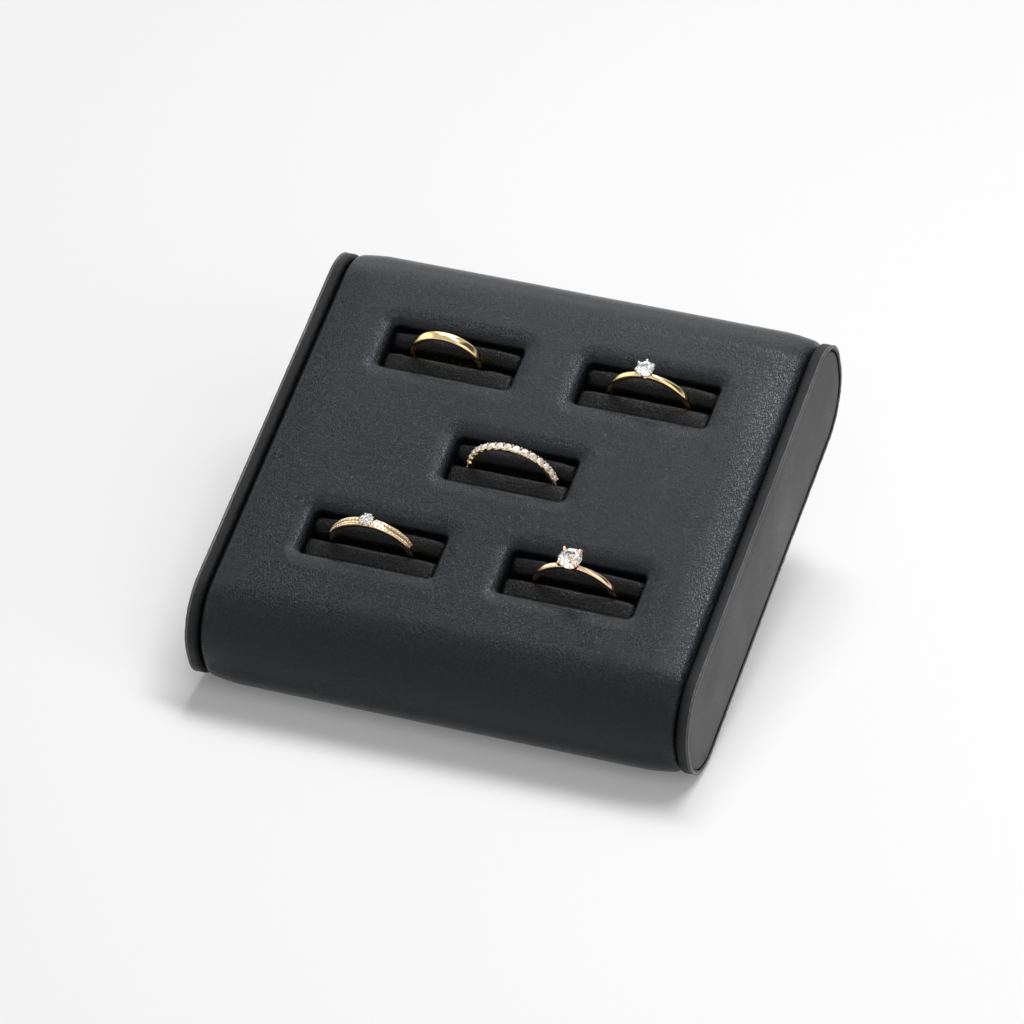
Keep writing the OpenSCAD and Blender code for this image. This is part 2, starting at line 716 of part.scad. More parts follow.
module shoulder_stones() color([0.95, 0.97, 1.0]) at_ring(3) at_shoulder_stones()
    cylinder(r1 = shoulder_stone_r, r2 = 0.7 * shoulder_stone_r, h = shoulder_stone_h, $fn = 16);

module claw_shank() color([0.90, 0.68, 0.47]) shank(4, claw_t);
module claw_head() color([0.90, 0.68, 0.47]) on_top_of(4)
    claw_setting(claw_stone_r, claw_seat, 4, claw_wire_r, claw_foot_r, 45);
module claw_stone() color([0.95, 0.97, 1.0]) at_ring(4)
    translate([0, 0, claw_r + claw_seat]) round_stone(claw_stone_r);

// ---- Nodes ----

leather_cover();
foam_padding();
top_board();
bottom_board();
rail(-1);  // front_rail
rail(1);  // back_rail
side_board(-1);  // left_side_board
side_board(1);  // right_side_board
base_panel();
base_lining();
for (i = SLOTS) {
    slot_tray(i);
    foam_strip(i, 1);
    foam_strip(i, -1);
}
end_board(-1);  // left_end_board
end_wrap(-1);  // left_end_wrap
end_panel(-1);  // left_end_panel
end_board(1);  // right_end_board
end_wrap(1);  // right_end_wrap
end_panel(1);  // right_end_panel
front_felt();
hinge_fixed_leaf();
hinge_pin();
hinge_screws();
leg_board();
leg_sleeve();
leg_foot();
hinge_moving_leaf();
leg_screws();
plain_band();
solitaire_shank();
solitaire_head();
solitaire_stone();
eternity_band();
eternity_stones();
shoulder_shank();
shoulder_head();
shoulder_centre();
shoulder_stones();
claw_shank();
claw_head();
claw_stone();
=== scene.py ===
import json
import math

import bmesh
import bpy
from mathutils import Matrix, Vector, noise


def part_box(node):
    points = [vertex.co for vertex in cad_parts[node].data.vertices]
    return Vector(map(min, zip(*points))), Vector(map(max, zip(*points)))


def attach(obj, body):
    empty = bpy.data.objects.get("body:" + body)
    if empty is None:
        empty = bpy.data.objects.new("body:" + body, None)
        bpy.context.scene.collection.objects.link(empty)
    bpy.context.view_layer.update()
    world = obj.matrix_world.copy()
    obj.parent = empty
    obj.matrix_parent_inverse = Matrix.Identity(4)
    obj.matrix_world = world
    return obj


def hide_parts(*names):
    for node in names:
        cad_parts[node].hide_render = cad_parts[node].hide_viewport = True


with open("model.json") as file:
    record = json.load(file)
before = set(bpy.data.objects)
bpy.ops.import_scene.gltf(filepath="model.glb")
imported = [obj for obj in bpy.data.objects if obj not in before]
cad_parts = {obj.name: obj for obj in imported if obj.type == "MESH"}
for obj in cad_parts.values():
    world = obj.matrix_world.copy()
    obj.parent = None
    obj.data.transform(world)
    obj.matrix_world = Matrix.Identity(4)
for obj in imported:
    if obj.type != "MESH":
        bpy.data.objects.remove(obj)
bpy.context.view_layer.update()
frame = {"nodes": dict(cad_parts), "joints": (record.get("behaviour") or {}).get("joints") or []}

mm = 0.001

# ---- The slope ----
# The slab leans back on its leg. Its own frame has x to the right, y up the slope and z out of the face,
# and its middle lies between the two end panels. The rings lift out along that z.
lift_axis = next(joint["axis"] for joint in frame["joints"] if joint["name"] == "plain_ring_lift")
slab_tilt = math.atan2(-lift_axis[1], lift_axis[2])
panel_low, panel_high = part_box("left_end_panel")
slab_middle = Vector((0, (panel_low.y + panel_high.y) / 2, (panel_low.z + panel_high.z) / 2))
on_slab = Matrix.Translation(slab_middle) @ Matrix.Rotation(slab_tilt, 4, "X")


def own_box(node, place=on_slab):
    """Lowest and highest corner of a CAD node, in the slab's own frame or another one."""
    back = place.inverted()
    corners = [back @ v.co for v in frame["nodes"][node].data.vertices]
    low = Vector([min(c[axis] for c in corners) for axis in range(3)])
    high = Vector([max(c[axis] for c in corners) for axis in range(3)])
    return low, high


# ---- Camera ----
# A long lens, well over a metre away, looks down on the slab from its front right.
camera_azimuth = math.radians(19.583)
camera_elevation = math.radians(34.047)
camera_distance = 1.6648
camera_focal_px = 7141.4
camera_yaw = math.radians(0.048)
camera_pitch = math.radians(-0.036)
picture_px = 1024
sensor_width_mm = 36
farthest_seen = 20

camera_data = bpy.data.cameras.new("camera")
camera_data.sensor_width = sensor_width_mm
camera_data.lens = camera_focal_px / picture_px * camera_data.sensor_width
camera_data.clip_end = farthest_seen
camera = bpy.data.objects.new("camera", camera_data)
bpy.context.scene.collection.objects.link(camera)
camera.location = slab_middle + camera_distance * Vector((
    math.sin(camera_azimuth) * math.cos(camera_elevation),
    -math.cos(camera_azimuth) * math.cos(camera_elevation),
    math.sin(camera_elevation)))
camera.rotation_euler = (math.pi / 2 - camera_elevation + camera_pitch, 0, camera_azimuth + camera_yaw)
bpy.context.scene.camera = camera
bpy.context.scene.view_settings.view_transform = "Standard"

# ---- Floor, sky and lamps ----
# White paper runs up to a white wall under a dimmer ceiling, with a white screen high on the left and a
# black one on the right. A long soft lamp hangs high behind the object. Others fill its right end, draw
# the light along its back edge and, through diffusers that leave no reflection, light the floor.
floor_half = 3.0
paper_white = (0.92, 0.92, 0.92, 1)
paper_roughness = 0.8
paper_shine = 0.1
paper_glow = 0.97
glow_share = 0.16
sky_light = 0.1
wall_light = 1.0
wall_top = 0.1
ceiling_light = 0.65
ceiling_start = 0.45
# Where a screen starts sideways, where it is full, and its light.
white_screen = (-0.6, -0.76, 2.2)
black_screen = (0.5, 0.65, 0.15)
screen_foot = 0.05
screen_full_height = 0.3
lamp_aim = Vector((0, 0, 0.03))


def add_node(tree, kind, settings=None, inputs=None):
    """Adds a shader node. Each input takes a value, or the output of another node."""
    node = tree.nodes.new(kind)
    for key, value in (settings or {}).items():
        setattr(node, key, value)
    for key, value in (inputs or {}).items():
        if isinstance(value, bpy.types.NodeSocket):
            tree.links.new(value, node.inputs[key])
        else:
            node.inputs[key].default_value = value
    return node


def math_node(tree, operation, *values):
    """The result of a Math node with the given values or outputs."""
    return add_node(tree, "ShaderNodeMath", {"operation": operation}, dict(enumerate(values))).outputs[0]


def remap(tree, value, low, high, to_low=0.0, to_high=1.0, interpolation="LINEAR"):
    """A value moved from one range to another and held inside it."""
    return add_node(tree, "ShaderNodeMapRange", {"interpolation_type": interpolation}, {
        "Value": value, "From Min": low, "From Max": high, "To Min": to_low, "To Max": to_high}).outputs[0]


floor_mesh = bmesh.new()
bmesh.ops.create_grid(floor_mesh, x_segments=2, y_segments=2, size=floor_half)
floor_data = bpy.data.meshes.new("floor")
floor_mesh.to_mesh(floor_data)
floor_mesh.free()
floor = bpy.data.objects.new("floor", floor_data)
bpy.context.scene.collection.objects.link(floor)

paper = bpy.data.materials.new("white_paper")
paper.use_nodes = True
paper_bsdf = paper.node_tree.nodes["Principled BSDF"]
paper_bsdf.inputs["Base Color"].default_value = paper_white
paper_bsdf.inputs["Roughness"].default_value = paper_roughness
paper_bsdf.inputs["Specular IOR Level"].default_value = paper_shine
floor_data.materials.append(paper)


def seen_rays(tree):
    """1 on what the camera sees, straight, mirrored or through glass, and 0 on light that falls."""
    rays = add_node(tree, "ShaderNodeLightPath").outputs
    seen = math_node(tree, "MAXIMUM", rays["Is Camera Ray"], rays["Is Glossy Ray"])
    return math_node(tree, "MAXIMUM", seen, rays["Is Transmission Ray"])


# Part of the paper's white is its own, which softens the shadow that the slab leaves on it.
tree = paper.node_tree
glow = add_node(tree, "ShaderNodeEmission", None, {"Color": (1, 1, 1, 1), "Strength": paper_glow})
both = add_node(tree, "ShaderNodeMixShader", None, {
    0: math_node(tree, "MULTIPLY", seen_rays(tree), glow_share), 1: paper_bsdf.outputs[0],
    2: glow.outputs[0]})
tree.links.new(both.outputs[0], tree.nodes["Material Output"].inputs["Surface"])

world = bpy.data.worlds.new("studio")
bpy.context.scene.world = world
world.use_nodes = True
sky = world.node_tree
background = sky.nodes["Background"]
background.inputs["Color"].default_value = (1, 1, 1, 1)
heading = add_node(sky, "ShaderNodeSeparateXYZ", None, {
    0: add_node(sky, "ShaderNodeTexCoord").outputs["Generated"]}).outputs
room = remap(sky, heading["Z"], wall_top, ceiling_start, wall_light, ceiling_light, "SMOOTHSTEP")
for starts, full, strength in (white_screen, black_screen):
    screen = remap(sky, heading["X"], starts, full, 1.0, strength, "SMOOTHSTEP")
    high_up = remap(sky, heading["Z"], screen_foot, screen_full_height, 1.0, screen)
    room = math_node(sky, "MULTIPLY", room, high_up)
shown = add_node(sky, "ShaderNodeMix", {"data_type": "FLOAT"}, {0: seen_rays(sky), 2: sky_light, 3: room})
sky.links.new(shown.outputs[0], background.inputs["Strength"])


def add_lamp(name, place, size, power):
    """A rectangular soft lamp that looks at the object. Gives the lamp."""
    data = bpy.data.lights.new(name, "AREA")
    data.shape = "RECTANGLE"
    data.size, data.size_y = size
    data.energy = power
    lamp = bpy.data.objects.new(name, data)
    bpy.context.scene.collection.objects.link(lamp)
    lamp.location = place
    lamp.rotation_euler = (lamp_aim - Vector(place)).to_track_quat("-Z", "Y").to_euler()
    return lamp


add_lamp("overhead_softbox", (0.144, 0.277, 1.22), size=(0.93, 0.21), power=8.3)
back_lamp = add_lamp("back_softbox", (-0.096, 0.296, 0.35), size=(0.31, 0.39), power=0.7)
back_lamp.visible_diffuse = False
add_lamp("right_softbox", (1.3, -0.9, 0.9), size=(1.6, 1.3), power=7.8)
front_lamp = add_lamp("front_softbox", (0.4, -0.65, 0.95), size=(0.9, 0.7), power=1.8)
top_lamp = add_lamp("top_softbox", (0.22, 0.33, 1.25), size=(1.1, 0.5), power=6)
for lamp in (front_lamp, top_lamp):
    lamp.visible_glossy = False

# ---- Leather cover ----
# One skin of fine-grained charcoal leather, stretched over foam and glued. It is pressed down
# round the five slots, and turned in at both ends and round the window underneath.
cover_corner = own_box("leather_cover")[1]
cover_thickness = 0.9 * mm
face_level = cover_corner.z
nose_radius = 14 * mm
nose_steps = 24
end_rounding = 2 * mm
end_steps = 5
end_turn_in = 6 * mm
slot_corner = 1.2 * mm
strip_gap = 0.2 * mm
corner_steps = 8
lip_reach = 2.1 * mm
lip_drop = 1.7 * mm
lip_steps = 6
dip_reach = 4.6 * mm
dip_depth = 0.35 * mm
dip_steps = 6
collar_depth = 7.5 * mm
window_corner = 6 * mm
window_lip = 0.5 * mm
window_bend_reach = 0.15
window_bend_rise = 0.3
window_depth = 2.2 * mm
cover_patch = 2.5 * mm
uneven_height = 0.07 * mm
uneven_size = 16 * mm
end_roll_off = 9 * mm
end_drop = 1.1 * mm
end_curve = 1.6
end_facing = 0.9
plate_facing = 0.99
slot_numbers = range(1, 6)
nose_core = Vector((0, cover_corner.y - nose_radius, cover_corner.z - nose_radius))


def slot_space(number):
    """Middle, width and height of a ring slot, from the two foam strips that fill it."""
    low = own_box(f"front_strip_{number}")[0]
    high = own_box(f"back_strip_{number}")[1]
    return (low + high) / 2, high.x - low.x + 2 * strip_gap, high.y - low.y + 2 * strip_gap


def ease(share):
    """A share from 0 to 1 that leaves 0 and reaches 1 gently."""
    return share * share * (3 - 2 * share)


def edges_of(verts):
    """The edges that meet at vertices, each once."""
    return list(dict.fromkeys(e for v in verts for e in v.link_edges))


def rounded_loop(bm, middle, width, height, radius, level):
    """A level loop of edges round a rectangle with round corners."""
    verts = bmesh.ops.create_circle(bm, segments=4 * corner_steps, radius=radius)["verts"]
    half_step = Matrix.Rotation(math.pi / (4 * corner_steps), 4, "Z")
    bmesh.ops.transform(bm, matrix=half_step, verts=verts)
    for v in verts:
        v.co.x += middle.x + math.copysign(width / 2 - radius, v.co.x)
        v.co.y += middle.y + math.copysign(height / 2 - radius, v.co.y)
        v.co.z = level
    return edges_of(verts)


def bridge(bm, loops):
    """Joins each loop of edges to the next one."""
    for near, far in zip(loops, loops[1:]):
        bmesh.ops.bridge_loops(bm, edges=near + far)


def cut_at(bm, place, normal):
    """Cuts every face that a plane crosses."""
    bmesh.ops.bisect_plane(bm, geom=bm.verts[:] + bm.edges[:] + bm.faces[:], plane_co=place,
                           plane_no=normal)


def cut_across(bm, axis, step, reach):
    """Cuts a mesh into bands of about one step across an axis, from -reach to reach."""
    count = max(1, round(2 * reach / step))
    for k in range(1, count):
        cut_at(bm, axis * (2 * reach * k / count - reach), axis)


def bevel_edges(bm, edges, offset, steps):
    """Rounds edges."""
    return bmesh.ops.bevel(bm, geom=edges, offset=offset, offset_type="OFFSET", segments=steps,
                           profile=0.5, affect="EDGES", material=-1)


def rounded_bar(half, radius, steps):
    """A bmesh of a bar along x whose four long edges are rounded. Its corner is at half."""
    bm = bmesh.new()
    bmesh.ops.create_cube(bm, size=2)
    bmesh.ops.scale(bm, verts=bm.verts, vec=half)
    bevel_edges(bm, [e for e in bm.edges if abs(e.verts[0].co.x - e.verts[1].co.x) > half[0]],
                radius, steps)
    return bm


def end_faces(bm, side):
    """The faces that close a bar at its left (-1) or right (1) end."""
    bm.normal_update()
    return [f for f in bm.faces if f.normal.x * side > end_facing]


def largest_end(bm, side):
    """The large flat face that closes a bar at one end."""
    return max(end_faces(bm, side), key=lambda f: f.calc_area())


def open_end(bm, face, margin):
    """Leaves only a margin of an end face, as leather that is turned in."""
    bmesh.ops.inset_region(bm, faces=[face], thickness=margin, use_even_offset=True)
    bmesh.ops.delete(bm, geom=[face], context="FACES_ONLY")


def add_piece(bm, name, material, body, nodes=(), place=on_slab, crease=50):
    """Makes a piece of a bmesh drawn in its own frame, lays it in place and lets it ride on a body."""
    bm.normal_update()
    for e in bm.edges:
        e.smooth = e.calc_face_angle(0) < math.radians(crease)
    data = bpy.data.meshes.new(name)
    bm.to_mesh(data)
    bm.free()
    data.transform(place)
    data.shade_smooth()
    data.materials.append(material)
    piece = bpy.data.objects.new(name, data)
    bpy.context.scene.collection.objects.link(piece)
    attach(piece, body)
    if nodes:
        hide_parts(*nodes)
    return piece


def add_wall(piece, thickness):
    """Gives a skin its thickness, inwards."""
    wall = piece.modifiers.new("thickness", "SOLIDIFY")
    wall.thickness = thickness
    wall.offset = -1


def open_plates(bm):
    """Takes out the flat face on top (1) and the one underneath (-1). Gives the edges round each."""
    bm.normal_update()
    rims = {}
    for side in (-1, 1):
        facing = [f for f in bm.faces if f.normal.z * side > plate_facing]
        plate = max(facing, key=lambda f: f.calc_area())
        rims[side] = plate.edges[:]
        bmesh.ops.delete(bm, geom=[plate], context="FACES_ONLY")
    return rims


def fill_plates(bm, rims, holes_above, holes_below):
    """Fills both flat faces again and leaves the holes open, in small patches."""
    bmesh.ops.triangle_fill(bm, use_beauty=True, edges=rims[1] + holes_above, normal=(0, 0, 1))
    bmesh.ops.triangle_fill(bm, use_beauty=True, edges=rims[-1] + holes_below, normal=(0, 0, -1))
    half_x = max(v.co.x for v in bm.verts)
    cut_across(bm, Vector((1, 0, 0)), cover_patch, half_x - end_rounding)
    cut_across(bm, Vector((0, 1, 0)), cover_patch, nose_core.y)
    for k in range(1, 2 * end_steps):
        for side in (-1, 1):
            level = side * (half_x - end_rounding - end_roll_off * k / (2 * end_steps))
            cut_at(bm, (level, 0, 0), (1, 0, 0))
    bmesh.ops.recalc_face_normals(bm, faces=bm.faces)


def out_of_core(place, core):
    """The way out to a place from the core of a bar along x, whose corner is given."""
    return place - Vector((place.x, max(-core.y, min(core.y, place.y)), max(-core.z, min(core.z, place.z))))


def pull_over_ends(bm):
    """Lets a skin sink towards both ends, where it is pulled down, and makes it a little uneven."""
    for v in bm.verts:
        out = out_of_core(v.co, nose_core)
        if out.length > 0:
            near_end = max(0, 1 - (cover_corner.x - abs(v.co.x)) / end_roll_off)
            shift = uneven_height * noise.noise(v.co / uneven_size) - end_drop * near_end ** end_curve
            v.co += out.normalized() * shift


cover = rounded_bar(cover_corner, nose_radius, nose_steps)
for side in (-1, 1):
    bevel_edges(cover, largest_end(cover, side).edges[:], end_rounding, end_steps)
for side in (-1, 1):
    open_end(cover, largest_end(cover, side), end_turn_in)
plates = open_plates(cover)

# The dip, the lip and the collar of a slot: how far out each loop lies, and how far under the face.
slot_profile = [(dip_reach + (lip_reach - dip_reach) * k / dip_steps, 0) for k in range(dip_steps)]
for k in range(lip_steps + 1):
    turn = math.pi / 2 * k / lip_steps
    slot_profile.append((lip_reach * (1 - math.sin(turn)), lip_drop * (1 - math.cos(turn))))
slot_profile += [(0, (lip_drop + collar_depth) / 2), (0, collar_depth)]
outer_loops = []
for number in slot_numbers:
    middle, width, height = slot_space(number)
    loops = []
    for reach, drop in slot_profile:
        sunk = dip_depth * ease(1 - reach / dip_reach)
        loops.append(rounded_loop(cover, middle, width + 2 * reach, height + 2 * reach,
                                  slot_corner + reach, face_level - drop - sunk))
    bridge(cover, loops)
    outer_loops += loops[0]

base_low, base_high = own_box("base_panel")
window = base_high - base_low
window_profile = ((window_lip, 0), (window_bend_reach * window_lip, window_bend_rise * window_lip),
                  (0, window_lip), (0, window_depth))
window_loops = [rounded_loop(cover, Vector(), window.x + 2 * reach, window.y + 2 * reach,
                             window_corner + reach, rise - face_level) for reach, rise in window_profile]
bridge(cover, window_loops)
fill_plates(cover, plates, outer_loops, window_loops[0])
pull_over_ends(cover)


def make_group(name, inputs, outputs):
    """An empty shader node group. Its inputs are given with their kinds and first values."""
    tree = bpy.data.node_groups.new(name, "ShaderNodeTree")
    for socket, (kind, value) in inputs.items():
        made = tree.interface.new_socket(socket, in_out="INPUT", socket_type=kind)
        if value is not None:
            made.default_value = value
    for socket, kind in outputs.items():
        tree.interface.new_socket(socket, in_out="OUTPUT", socket_type=kind)
    return tree, tree.nodes.new("NodeGroupInput").outputs, tree.nodes.new("NodeGroupOutput").inputs


def use_group(tree, group, inputs):
    """Places a shader node group in a material and gives back its outputs."""
    return add_node(tree, "ShaderNodeGroup", {"node_tree": group}, inputs).outputs


def blend_colours(tree, factor, first, second):
    """A colour between two colours."""
    node = add_node(tree, "ShaderNodeMix", {"data_type": "RGBA"})
    for socket, value in ((node.inputs[0], factor), (node.inputs[6], first), (node.inputs[7], second)):
        if isinstance(value, bpy.types.NodeSocket):
            tree.links.new(value, socket)
        else:
            socket.default_value = value
    return node.outputs[2]


def two_tones(tree, value, low, high, first, second):
    """A colour that goes from the first to the second while a value rises from low to high."""
    return blend_colours(tree, remap(tree, value, low, high), first, second)


def mottle(tree, vector, scale, detail, roughness=0.5, distortion=0.0):
    """A soft, cloudy noise."""
    return add_node(tree, "ShaderNodeTexNoise", None, {
        "Vector": vector, "Scale": scale, "Detail": detail, "Roughness": roughness,
        "Distortion": distortion}).outputs["Fac"]


def new_material(name, **sockets):
    """A material whose uniform numbers are set on its own shader. Gives its tree, shader and place."""
    made = bpy.data.materials.new(name)
    made.use_nodes = True
    shader = made.node_tree.nodes["Principled BSDF"]
    for socket, value in sockets.items():
        shader.inputs[socket.replace("_", " ")].default_value = value
    place = add_node(made.node_tree, "ShaderNodeTexCoord").outputs["Object"]
    return made, made.node_tree, shader, place


def feed(tree, shader, height=None, distance=1.0, **sockets):
    """Links outputs into a shader, and a height into its normal over a distance in metres."""
    for socket, value in sockets.items():
        tree.links.new(value, shader.inputs[socket.replace("_", " ")])
    if height is not None:
        bump = add_node(tree, "ShaderNodeBump", None, {"Height": height, "Distance": distance})
        tree.links.new(bump.outputs[0], shader.inputs["Normal"])


# Fine leather grain: worm-like pebbles with creases between them, and soft clouds of tone.
grain_size = 0.6 * mm
grain_stretch = (1.3, 0.6, 0.9)
grain_warp = (1.4, 1.4, 1.4)
crease_width = 0.2
pebble_share = 0.9
fine_share = 0.2
crease_shade = 0.5
crease_tone = 0.4
crease_dull = 0.06

grain, given, put = make_group("leather_grain", {
    "Vector": ("NodeSocketVector", None),
    "Cell": ("NodeSocketFloat", grain_size)},
    {"Height": "NodeSocketFloat", "Crease": "NodeSocketFloat", "Cloud": "NodeSocketFloat"})
lengthwise = add_node(grain, "ShaderNodeVectorMath", {"operation": "MULTIPLY"}, {
    0: given["Vector"], 1: grain_stretch}).outputs[0]
cells = add_node(grain, "ShaderNodeVectorMath", {"operation": "SCALE"}, {
    0: lengthwise, "Scale": math_node(grain, "DIVIDE", 1.0, given["Cell"])}).outputs[0]
warp = add_node(grain, "ShaderNodeTexNoise", None, {"Vector": cells, "Scale": 0.7, "Detail": 2.0})
warped = add_node(grain, "ShaderNodeVectorMath", {"operation": "MULTIPLY_ADD"}, {
    0: warp.outputs["Color"], 1: grain_warp, 2: cells}).outputs[0]
pebbles = add_node(grain, "ShaderNodeTexVoronoi", {"feature": "DISTANCE_TO_EDGE"}, {
    "Vector": warped, "Scale": 1.0, "Randomness": 0.95}).outputs["Distance"]
pebble_height = remap(grain, pebbles, 0.0, crease_width, interpolation="SMOOTHSTEP")
fine = math_node(grain, "MULTIPLY", mottle(grain, cells, 1.2, 2.0), fine_share)
height = math_node(grain, "MULTIPLY_ADD", pebble_height, pebble_share, fine)
grain.links.new(height, put["Height"])
grain.links.new(math_node(grain, "SUBTRACT", 1.0, pebble_height), put["Crease"])
grain.links.new(remap(grain, mottle(grain, given["Vector"], 34.0, 4.0), 0.35, 0.65), put["Cloud"])


def leather(name, light, dark, cell, depth, gloss, **sockets):
    """Dyed grained leather: creases are darker and duller than the pebbles between them."""
    made, tree, shader, place = new_material(name, **sockets)
    skin = use_group(tree, grain, {"Vector": place, "Cell": cell})
    tone = blend_colours(tree, skin["Cloud"], dark, light)
    tone = blend_colours(tree, math_node(tree, "MULTIPLY", skin["Crease"], crease_shade), tone,
                         tuple(crease_tone * c for c in dark[:3]) + (1,))
    rough = math_node(tree, "MULTIPLY_ADD", skin["Crease"], crease_dull,
                      remap(tree, skin["Cloud"], 0.0, 1.0, gloss[1], gloss[0]))
    feed(tree, shader, skin["Height"], depth, Base_Color=tone, Roughness=rough)
    return made


cover_leather = leather(
    "charcoal_leather", light=(0.0068, 0.0078, 0.0098, 1), dark=(0.005, 0.0058, 0.0074, 1),
    cell=0.56 * mm, depth=0.048 * mm, gloss=(0.2, 0.24), Specular_IOR_Level=0.26,
    Specular_Tint=(0.88, 0.94, 1, 1))
cover = add_piece(cover, "cover_skin", cover_leather, "slab", ["leather_cover"])
add_wall(cover, cover_thickness)

# ---- Foam padding ----
# A sheet of open-cell foam is glued round the boards under the leather. It stops short of both ends,
# where the leather is pulled down to the board, and is cut out for the slots and the window.
foam_thickness = 1.5 * mm
foam_short = 7 * mm
foam_clear = 0.05 * mm
foam_pore = 0.35 * mm
pore_depth = 0.15 * mm

foam_corner = own_box("foam_padding")[1]
foam = rounded_bar(Vector((cover_corner.x - foam_short, foam_corner.y, foam_corner.z)),
                   nose_radius - (cover_corner.z - foam_corner.z), nose_steps)
for side in (-1, 1):
    bmesh.ops.delete(foam, geom=end_faces(foam, side), context="FACES_ONLY")
plates = open_plates(foam)
holes = []
reach = lip_reach + cover_thickness + foam_clear
for number in slot_numbers:
    middle, width, height = slot_space(number)
    holes += rounded_loop(foam, middle, width + 2 * reach, height + 2 * reach, slot_corner + reach,
                          foam_corner.z)
cut_out = rounded_loop(foam, Vector(), window.x + 2 * window_depth, window.y + 2 * window_depth,
                       window_corner + window_depth, -foam_corner.z)
fill_plates(foam, plates, holes, cut_out)
pull_over_ends(foam)

grey_foam, tree, shader, place = new_material("grey_foam", Specular_IOR_Level=0.15)
pores = add_node(tree, "ShaderNodeTexVoronoi", {"feature": "DISTANCE_TO_EDGE"}, {
    "Vector": place, "Scale": 1 / foam_pore}).outputs["Distance"]
feed(tree, shader, pores, pore_depth, Roughness=remap(tree, pores, 0.0, 0.3, 0.98, 0.85),
     Base_Color=two_tones(tree, pores, 0.0, 0.25, (0.10, 0.10, 0.105, 1), (0.21, 0.21, 0.22, 1)))
foam = add_piece(foam, "foam_sheet", grey_foam, "slab", ["foam_padding"])
add_wall(foam, foam_thickness)

# ---- Foam strips ----
# Two rolls of soft foam in black nappa lie in each slot, the front one pushed up under the lip.
# They press the ring between them, bulge a little where they give way, and leave a slit beside it.
strip_cut = 0.7 * mm
strip_band = 5 * mm
# Rounding of a roll's top, along the slit and along the lip.
front_rounds = (1.1 * mm, 0.7 * mm)
back_rounds = (3.2 * mm, 0.8 * mm)
front_sag = 0.55 * mm
back_gap = 0.9 * mm
strip_end_round = 0.5 * mm
strip_end_sag = 0.75 * mm
strip_sag_reach = 7.5 * mm
strip_steps = 8
squeeze_fade = 2.6 * mm
squeeze_clear = 0.12 * mm
squeeze_bulge = 0.25
slump_depth = 0.12 * mm
slump_size = 5 * mm
shanks = {1: "plain_band", 2: "solitaire_shank", 3: "eternity_band", 4: "shoulder_shank", 5: "claw_shank"}


def ring_place(shank):
    """Middle, outer radius and width of a ring, from its shank's CAD node, in the slab's frame."""
    low, high = own_box(shank)
    radius = (high.x - low.x) / 2
    return Vector(((low.x + high.x) / 2, (low.y + high.y) / 2, low.z + radius)), radius, high.y - low.y


def foam_roll(half, side):
    """A bar about its own middle whose top is rounded, finely cut so that it can give way."""
    slit_round, lip_round = back_rounds if side > 0 else front_rounds
    roll = bmesh.new()
    bmesh.ops.create_cube(roll, size=2)
    bmesh.ops.scale(roll, verts=roll.verts, vec=half)
    top_edges = [e for e in roll.edges if all(v.co.z > 0 for v in e.verts)
                 and abs(e.verts[0].co.x - e.verts[1].co.x) > half.x]
    slit_edges = [e for e in top_edges if e.verts[0].co.y * side < 0]
    lip_edges = [e for e in top_edges if e.verts[0].co.y * side > 0]
    bevel_edges(roll, slit_edges, slit_round, strip_steps)
    bevel_edges(roll, lip_edges, lip_round, strip_steps)
    cut_across(roll, Vector((0, 0, 1)), strip_band, half.z)
    cut_across(roll, Vector((0, 1, 0)), strip_cut, half.y)
    cut_across(roll, Vector((1, 0, 0)), strip_cut, half.x)
    roll.normal_update()
    return roll


def sag(roll, half, side):
    """Lowers the top of a roll towards both ends, and that of the front one towards the slit."""
    for v in roll.verts:
        if v.co.z > 0:
            beyond_end = max(0, abs(v.co.x) - half.x + strip_end_round) / strip_end_round
            near_end = max(0, abs(v.co.x) - half.x + strip_sag_reach) / strip_sag_reach
            v.co.z -= strip_end_round * (1 - math.sqrt(max(0, 1 - beyond_end ** 2)))
            v.co.z -= strip_end_sag * near_end ** 2
            if side < 0:
                v.co.z -= front_sag * ((half.y - v.co.y) / (2 * half.y)) ** 2


def squeeze(roll, half, side, middle, ring):
    """Pushes a roll aside where a ring presses on it, and lets it bulge there."""
    ring_middle, ring_radius, ring_width = ring
    pressed = ring_width / 2 + squeeze_clear - (side * middle.y - half.y - side * ring_middle.y)
    for v in roll.verts:
        v.co += v.normal * slump_depth * noise.noise((v.co + middle) / slump_size)
        at = v.co + middle
        depth = max(0, ring_middle.z - at.z)
        reach = math.sqrt(max(0, ring_radius ** 2 - depth ** 2))
        press = ease(1 - min(1, max(0, abs(at.x - ring_middle.x) - reach) / squeeze_fade))
        give = max(0, pressed) * press if depth < ring_radius else 0
        inner = (half.y - side * v.co.y) / (2 * half.y)
        v.co.y += side * give * inner
        if v.co.z > 0:
            v.co.z += squeeze_bulge * give * (1 - abs(2 * inner - 1))


nappa = leather("black_nappa", light=(0.0026, 0.0028, 0.0032, 1), dark=(0.0016, 0.0018, 0.0021, 1),
                cell=0.6 * mm, depth=0.06 * mm, gloss=(0.22, 0.3), Specular_IOR_Level=0.18)

for number, shank in shanks.items():
    for name, side in (("back", 1), ("front", -1)):
        low, high = own_box(f"{name}_strip_{number}")
        if side > 0:
            high.y -= back_gap
        middle, half = (low + high) / 2, (high - low) / 2
        roll = foam_roll(half, side)
        sag(roll, half, side)
        squeeze(roll, half, side, middle, ring_place(shank))
        bmesh.ops.translate(roll, verts=roll.verts, vec=middle)
        pad = add_piece(roll, f"{name}_roll_{number}", nappa, "slab",
                        [f"{name}_strip_{number}"])

